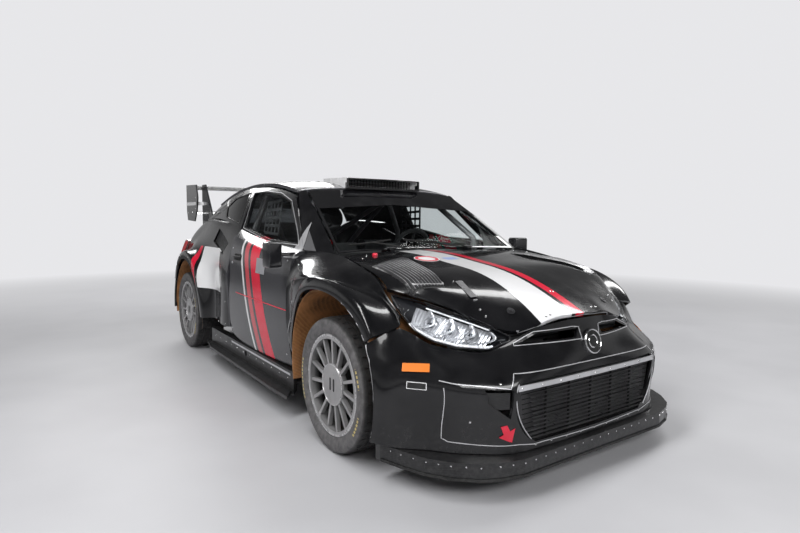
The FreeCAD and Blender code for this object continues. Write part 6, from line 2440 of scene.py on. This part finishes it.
    def strap(self, sign: int, points: Sequence[tuple[float, float, float]],
              width: float) -> bpy.types.Object:
        """A flat strap over the shell along (index, share, lift) points, its width in mm."""
        path = []
        for a, b in zip(points, points[1:]):
            path += [tuple(p + (q - p) * k / 5 for p, q in zip(a, b)) for k in range(5)]
        path.append(points[-1])
        spots = [self.cross(sign, *p) for p in path]
        rows = []
        for i, spot in enumerate(spots):
            ahead = spots[min(i + 1, len(spots) - 1)] - spots[max(i - 1, 0)]
            out = self.cross(sign, path[i][0], path[i][1], path[i][2] + 10) - spot
            side = ahead.cross(out).normalized() * (width / 2000)
            rows.append([spot - side, spot, spot + side])
        return Bench.sheet("strap", rows, wall=0.002, levels=1)

    def harness(self, side: str, sign: int, web: Material, metal: Material) -> None:
        """Shoulder, lap and leg straps to a round buckle."""
        straps = []
        for way in (-1, 1):
            straps.append(self.strap(sign,
                                     ((11.0, way * 0.30, 26), (9.5, way * 0.27, 44),
                                      (7.6, way * 0.20, 50), (6.2, way * 0.09, 60)), 50))
            straps.append(self.strap(sign,
                                     ((4.6, way * 0.66, 30), (5.0, way * 0.45, 60),
                                      (5.5, way * 0.22, 66), (5.8, way * 0.06, 64)), 46))
            straps.append(self.strap(sign,
                                     ((3.0, way * 0.14, 32), (4.2, way * 0.10, 52),
                                      (5.4, way * 0.04, 64)), 40))
        Fitter.fit(Bench.join(f"{side}_harness", straps), "body", web, "seat", angle=60)
        centre = self.cross(sign, 5.9, 0.0, 66)
        out = (self.cross(sign, 5.9, 0.0, 80) - centre).normalized()
        profile = [(-0.006, 0.0), (-0.006, 0.024), (0.002, 0.027), (0.006, 0.024), (0.007, 0.012),
                   (0.011, 0.010), (0.011, 0.0)]
        Fitter.fit(Bench.turned(f"{side}_buckle", profile, centre, out, 32, closed=False), "body",
                   metal, "steel")

    def mounts(self, side: str, sign: int, metal: Material) -> None:
        """Side brackets and rails down to the floor."""
        parts = []
        for way in (-1, 1):
            x = self.offset * sign + way * 182
            corners = [at(x, s, z)
                       for s, z in ((1240, 172), (1560, 172), (1560, 196), (1520, 300), (1480, 300),
                             (1440, 214),
                                                (1340, 214), (1310, 292), (1270, 292), (1240, 196))]
            parts.append(Bench.prism("bracket", corners, Vector((0.004 * way, 0, 0)), 0.001))
            parts.append(Bench.block("rail", at(x - 14, 1225, 168), at(x + 14, 1580, 178), 0.002))
        Fitter.fit(Bench.join(f"{side}_seat_brackets", parts), "body", metal, "steel")

    def build(self) -> None:
        """Both seats."""
        gloss, cloth, web, metal, trim = (f.build()
                                          for f in (SEAT_SHELL, SEAT_CLOTH, WEBBING, MACHINED,
                                                    SEAT_PIPING))
        for side, sign in SIDES:
            self.shell(side, sign, gloss)
            self.pad(f"{side}_seat_cushion", sign, 1.2, 4.6, 0.56, 24, 4, cloth)
            self.pad(f"{side}_back_cushion", sign, 6.4, 10.6, 0.56, 22, 6, cloth)
            self.pad(f"{side}_head_cushion", sign, 11.2, 13.6, 0.55, 20, 2, cloth)
            self.piping(side, sign, 1.2, 4.6, 0.56, trim, "seat_cushion_piping")
            self.piping(side, sign, 6.4, 10.6, 0.56, trim, "back_cushion_piping")
            self.harness(side, sign, web, metal)
            self.mounts(side, sign, metal)


@dataclass
class Cabin:
    """Wheel boss, displays, levers, net, pedals and the small things inside.

    Fields:
        wheel: centre of the steering wheel.
        column: a lower point on its column.
    """

    wheel: Point3 = (340, 1080, 873)
    column: Point3 = (340, 860, 800)

    def steering(self, dark: Material, bright: Material, red: Material) -> None:
        """Boss plate with buttons and shift paddles."""
        centre, low = at(*self.wheel), at(*self.column)
        out = (centre - low).normalized()
        turn = tangent_frame(out, UP)

        def on(u: float, v: float, w: float) -> Vector:
            """A place across, up and out of the wheel's face, in mm."""
            return centre + turn @ Vector((u / 1000, v / 1000, w / 1000))

        plate = Bench.prism("plate", [on(u, v, 2) for u, v in rounded(150, 78, 22)], out * 0.012,
                            0.004)
        paddle = []
        for way in (-1, 1):
            outline = [(way * u, v) for u, v in ((58, -20), (120, -28), (128, 24), (62, 22))]
            paddle.append(Bench.prism("paddle", [on(u, v, -26) for u, v in outline], out * 0.003,
                                      0.001))
        Fitter.fit(Bench.join("wheel_plate", [plate, *paddle]), "steering_wheel", dark, "grip")
        model = Bench.stud(0.007, 0.004, 14)
        spots = [(-56, 20), (-56, -14), (56, 20), (56, -14), (-30, -24), (30, -24), (-30, 26),
                 (30, 26)]
        Fitter.fit(Bench.copies("wheel_buttons", model, [(on(u, v, 14), out) for u, v in spots]),
                   "steering_wheel", red, "grip")
        mark = Bench.prism("wheel_mark",
                           [on(u, v, 15) for u, v in ((-9, 136), (9, 136), (9, 150), (-9, 150))],
                           out * 0.004, 0.001)
        Fitter.fit(mark, "steering_wheel", bright, "grip")

    def dash(self, dark: Material, screen: Material, glow: Material,
             bright: Material, red: Material) -> None:
        """Displays, switches, switch panel and trip meter on the dashboard."""
        case = Bench.block("case", at(256, 872, 884), at(424, 898, 972), 0.006, 3)
        leg = Bench.block("leg", at(320, 866, 860), at(360, 890, 890), 0.003)
        hood = Bench.block("hood", at(-20, 868, 892), at(148, 894, 948), 0.005, 3)
        stand = Bench.block("stand", at(40, 862, 880), at(86, 886, 896), 0.003)
        Fitter.fit(Bench.join("dash_cases", [case, leg, hood, stand]), "body", dark, "trim")
        panes = [Bench.block("pane", at(264, 897, 892), at(416, 900, 964), 0.001),
                 Bench.block("pane", at(-12, 893, 898), at(140, 896, 942), 0.001)]
        Fitter.fit(Bench.join("dash_displays", panes), "body", screen, "trim")
        lines = [Bench.block("line", at(276, 899.5, z), at(276 + w, 900.6, z + 3), 0.0)
                 for z, w in ((902, 120), (914, 84), (926, 126), (938, 60), (950, 110))]
        Fitter.fit(Bench.join("display_lines", lines), "body", glow, "trim")
        skin = Skin("dashboard")
        toggles = []
        for z in (848, 812, 776):
            for k in range(6):
                toggles.append((skin.cast(at(-90 + 34 * k, 1100, z), FORWARD)[0],
                                Vector((0, 1, 0.25))))
        Fitter.fit(Bench.copies("dash_switches", Bench.stud(0.007, 0.010, 10), toggles), "body",
                   bright, "trim")
        panel = tag("switch_panel", skin, at(-4, 1100, 812), rounded(224, 120, 10), way=FORWARD,
                    depth=0.002)
        Fitter.fit(panel, "body", screen, "trim")
        box = Bench.block("box", at(-420, 872, 880), at(-250, 892, 956), 0.006, 3)
        foot = Bench.block("foot", at(-352, 866, 858), at(-318, 886, 884), 0.003)
        Fitter.fit(Bench.join("trip_meter", [box, foot]), "body", dark, "trim")
        knobs = [(at(-400 + 30 * k, 892, 894), REARWARD) for k in range(6)]
        Fitter.fit(Bench.copies("trip_knobs", Bench.stud(0.008, 0.006, 14), knobs), "body", red,
                   "trim")

    def levers(self, metal: Material, grip: Material, red: Material) -> None:
        """Gear lever, tall handbrake, tunnel box, pedals and extinguisher."""
        tunnel = Bench.block("tunnel", at(-56, 700, 168), at(56, 1180, 330), 0.02, 4)
        Fitter.fit(Bench.join("tunnel_cover", [tunnel]), "body", grip, "trim")
        gear = Bench.pipe("gear",
                          [at(60, 1010, 330), at(90, 1010, 520), at(130, 1016, 640),
                           at(140, 1020, 700)], 0.009)
        brake = Bench.pipe("brake",
                           [at(20, 1060, 330), at(44, 1064, 500), at(70, 1076, 680),
                            at(84, 1082, 790)], 0.010)
        Fitter.fit(Bench.join("lever_stems", [gear, brake]), "body", metal, "steel")
        profile = [(-0.05, 0.0), (-0.05, 0.012), (-0.03, 0.0145), (0.0, 0.0135), (0.03, 0.016),
                   (0.045, 0.012), (0.05, 0.0)]
        knobs = []
        for foot, way in ((at(140, 1020, 724), Vector((0.1, 0.05, 1))),
                          (at(86, 1084, 812), Vector((0.1, 0.05, 1)))):
            knobs.append(Bench.turned("knob", profile, foot, way, 24, closed=False))
        Fitter.fit(Bench.join("lever_grips", knobs), "body", grip, "trim")
        parts = []
        for x in (270, 340, 410):
            parts.append(Bench.pipe("arm", [at(x, 560, 420), at(x, 640, 330), at(x, 668, 250)],
                                    0.006))
            corners = [at(x + u, 664, 214 + v) for u, v in rounded(46, 74, 8)]
            parts.append(Bench.prism("pad", corners, Vector((0, 0.006, 0.003)), 0.0015))
        rest = Bench.prism("rest",
                           [at(-470, 700, 180), at(-210, 700, 180), at(-210, 620, 330),
                            at(-470, 620, 330)],
                           Vector((0, 0.004, 0.004)), 0.001)
        Fitter.fit(Bench.join("pedals_and_footrest", [*parts, rest]), "body", metal, "steel")
        tank = [(-0.16, 0.0), (-0.16, 0.045), (-0.15, 0.055), (0.13, 0.055), (0.15, 0.045),
                (0.16, 0.018), (0.19, 0.016), (0.19, 0.0)]
        bottle = Bench.turned("extinguisher", tank, at(0, 1500, 250), LEFTWARD, 32, closed=False)
        Fitter.fit(bottle, "body", red, "trim")
        bands = []
        for x in (-90, 70):
            ring = [(x / 1000 - 0.010, 0.0555), (x / 1000 + 0.010, 0.0555),
                    (x / 1000 + 0.010, 0.0575), (x / 1000 - 0.010, 0.0575)]
            bands.append(Bench.turned("band", ring, at(0, 1500, 250), LEFTWARD, 32))
            bands.append(Bench.block("foot", at(x - 8, 1450, 168), at(x + 8, 1550, 200), 0.002))
        Fitter.fit(Bench.join("extinguisher_bands", bands), "body", metal, "steel")

    def net(self, web: Material) -> None:
        """A webbing net inside each side window, on the cage's side."""
        for side, sign in SIDES:
            straps = []
            top = ((1300, 1236), (1560, 1216))
            foot = ((1330, 1000), (1590, 1010))
            for k in range(5):
                t = k / 4
                a = at(sign * 590, top[0][0] + (top[1][0] - top[0][0]) * t,
                       top[0][1] + (top[1][1] - top[0][1]) * t)
                b = at(sign * 612, foot[0][0] + (foot[1][0] - foot[0][0]) * t,
                       foot[0][1] + (foot[1][1] - foot[0][1]) * t)
                wide = Vector((0, 0.010, 0))
                straps.append(Bench.sheet("web",
                                          [[a.lerp(b, i / 6) - wide, a.lerp(b, i / 6) + wide]
                                           for i in range(7)], wall=0.002))
            for k in range(5):
                t = k / 4
                a = at(sign * (590 + 22 * t), top[0][0] + (foot[0][0] - top[0][0]) * t,
                       top[0][1] + (foot[0][1] - top[0][1]) * t)
                b = at(sign * (590 + 22 * t), top[1][0] + (foot[1][0] - top[1][0]) * t,
                       top[1][1] + (foot[1][1] - top[1][1]) * t)
                tall = Vector((0, 0, 0.010))
                straps.append(Bench.sheet("web",
                                          [[a.lerp(b, i / 6) - tall, a.lerp(b, i / 6) + tall]
                                           for i in range(7)], wall=0.002))
            Fitter.fit(Bench.join(f"{side}_window_net", straps), "body", web, "seat")

    def build(self) -> None:
        """All of it."""
        dark, screen, glow, bright, red = (f.build()
                                           for f in (DARK_TRIM, SCREEN_DARK, LAMP_LIGHT, BRIGHT,
                                                     RED_TAPE))
        metal, web = MACHINED.build(), NETTING.build()
        self.steering(dark, bright, red)
        self.dash(dark, screen, glow, bright, red)
        self.levers(metal, dark, red)
        self.net(web)


PARTS: tuple = (Wheels(), Headlamps(), Nose(), Lid(), Glasshouse(), Flanks(), Tail(), BucketSeats(),
                Cabin())


# ------------------------------------------------------------------ stage and camera

PALE: Colour = (0.80, 0.80, 0.82)


@dataclass
class Stage:
    """The pale floor, the pale surround and the soft lamps.

    Fields:
        spread: half the side of the floor, in metres.
        lamps: (name, place, aim, size, power) of each soft lamp.
    """

    spread: float = 40.0
    lamps: tuple = (
        ("ceiling_left", (-3.2, -1.5, 4.6), (0.0, 0.0, 0.4), (0.9, 5.5), 210.0),
        ("ceiling_right", (3.6, -1.0, 4.4), (0.0, 0.0, 0.4), (0.9, 5.5), 150.0),
        ("front_panel", (-1.2, -6.4, 3.4), (0.0, -1.6, 0.5), (5.0, 1.4), 190.0),
        ("rear_panel", (0.5, 6.0, 3.8), (0.0, 1.6, 0.8), (5.0, 1.4), 190.0),
    )

    def floor(self) -> None:
        """The floor, which fades into the pale surround some metres away."""
        Bench.clear()
        bpy.ops.mesh.primitive_grid_add(x_subdivisions=4, y_subdivisions=4, size=self.spread * 2)
        piece = Bench.settle("stage_floor")
        graph = Graph("stage_floor")
        x, y, _ = graph.axes()
        away = (x * x + y * y).maths("SQRT").ramp(3.2, 9.0)
        cloud = graph.noise(1.2, 3.0).ramp(0.3, 0.7)
        lit = graph.surface(Base_Color=graph.blend(cloud, (0.50, 0.50, 0.52), (0.56, 0.56, 0.58)),
                            Roughness=0.5)
        pale = graph.node("ShaderNodeEmission", None, {"Color": PALE, "Strength": 1.0})
        share = away * graph.node("ShaderNodeLightPath", out="Is Camera Ray")
        mixed = graph.node("ShaderNodeMixShader", None, {0: share, 1: lit, 2: pale})
        piece.data.materials.append(graph.finish(mixed))

    def surround(self) -> None:
        """A pale world for the eye, dark overhead and pale low down for gloss."""
        world = bpy.data.worlds.new("surround")
        bpy.context.scene.world = world
        world.use_nodes = True
        tree = world.node_tree
        tree.nodes.clear()
        spot = tree.nodes.new("ShaderNodeTexCoord")
        split = tree.nodes.new("ShaderNodeSeparateXYZ")
        ramp = tree.nodes.new("ShaderNodeValToRGB")
        path = tree.nodes.new("ShaderNodeLightPath")
        seen = tree.nodes.new("ShaderNodeMath")
        mix = tree.nodes.new("ShaderNodeMix")
        back = tree.nodes.new("ShaderNodeBackground")
        out = tree.nodes.new("ShaderNodeOutputWorld")
        mix.data_type = "RGBA"
        seen.operation = "MAXIMUM"
        stops = ramp.color_ramp.elements
        while len(stops) < 5:
            stops.new(0.5)
        for stop, (place, grey) in zip(stops,
                                       ((0.0, 0.30), (0.08, 0.46), (0.18, 0.34), (0.30, 0.10),
                                        (1.0, 0.05))):
            stop.position = place
            stop.color = (grey, grey, grey * 1.01, 1.0)
        link = tree.links.new
        link(spot.outputs["Generated"], split.inputs[0])
        link(split.outputs["Z"], ramp.inputs["Fac"])
        link(path.outputs["Is Camera Ray"], seen.inputs[0])
        link(path.outputs["Is Transmission Ray"], seen.inputs[1])
        link(seen.outputs[0], mix.inputs[0])
        link(ramp.outputs["Color"], mix.inputs[6])
        mix.inputs[7].default_value = (*PALE, 1.0)
        link(mix.outputs[2], back.inputs["Color"])
        back.inputs["Strength"].default_value = 1.0
        link(back.outputs[0], out.inputs["Surface"])

    def light(self) -> None:
        """The soft lamps."""
        for name, place, aim, size, power in self.lamps:
            Bench.clear()
            bpy.ops.object.light_add(type="AREA", location=place)
            lamp = bpy.context.view_layer.objects.active
            lamp.name = name
            lamp.data.shape = "RECTANGLE"
            lamp.data.size, lamp.data.size_y = size
            lamp.data.energy = power
            way = Vector(aim) - Vector(place)
            lamp.rotation_euler = way.to_track_quat("-Z", "Y").to_euler()

    def build(self) -> None:
        """Make all of it."""
        self.floor()
        self.surround()
        self.light()
        bpy.context.scene.view_settings.view_transform = "Standard"


@dataclass
class View:
    """The camera.

    Fields:
        eye: its place.
        yaw: degrees from +Y towards +X.
        pitch: degrees upwards.
        roll: degrees of roll.
        lens: focal length in mm on a 36 mm frame.
    """

    eye: Point3 = (-2.094, -3.5505, 1.102)
    yaw: float = 34.85
    pitch: float = -4.78
    roll: float = 0.44
    lens: float = 24.73

    def build(self) -> None:
        """Make the camera and use it."""
        Bench.clear()
        yaw, pitch, roll = (math.radians(v) for v in (self.yaw, self.pitch, self.roll))
        ahead = Vector((math.sin(yaw) * math.cos(pitch), math.cos(yaw) * math.cos(pitch),
                        math.sin(pitch)))
        right = ahead.cross(UP).normalized()
        up = right.cross(ahead)
        side = right * math.cos(roll) + up * math.sin(roll)
        top = up * math.cos(roll) - right * math.sin(roll)
        bpy.ops.object.camera_add()
        camera = bpy.context.view_layer.objects.active
        camera.name = "view_camera"
        turn = Matrix((side, top, -ahead)).transposed().to_4x4()
        camera.matrix_world = Matrix.Translation(Vector(self.eye)) @ turn
        camera.data.lens = self.lens
        camera.data.sensor_width = 36.0
        camera.data.clip_start = 0.05
        bpy.context.scene.camera = camera


def main() -> None:
    """Build the stage, the car's pieces and their finishes."""
    logging.basicConfig(level=logging.INFO, format="%(message)s")
    for part in (Stage(), View(), *PARTS, Painter()):
        LOG.info("building %s", type(part).__name__)
        part.build()
    LOG.info("%d pieces", Fitter.made)


if __name__ == "__main__":
    main()
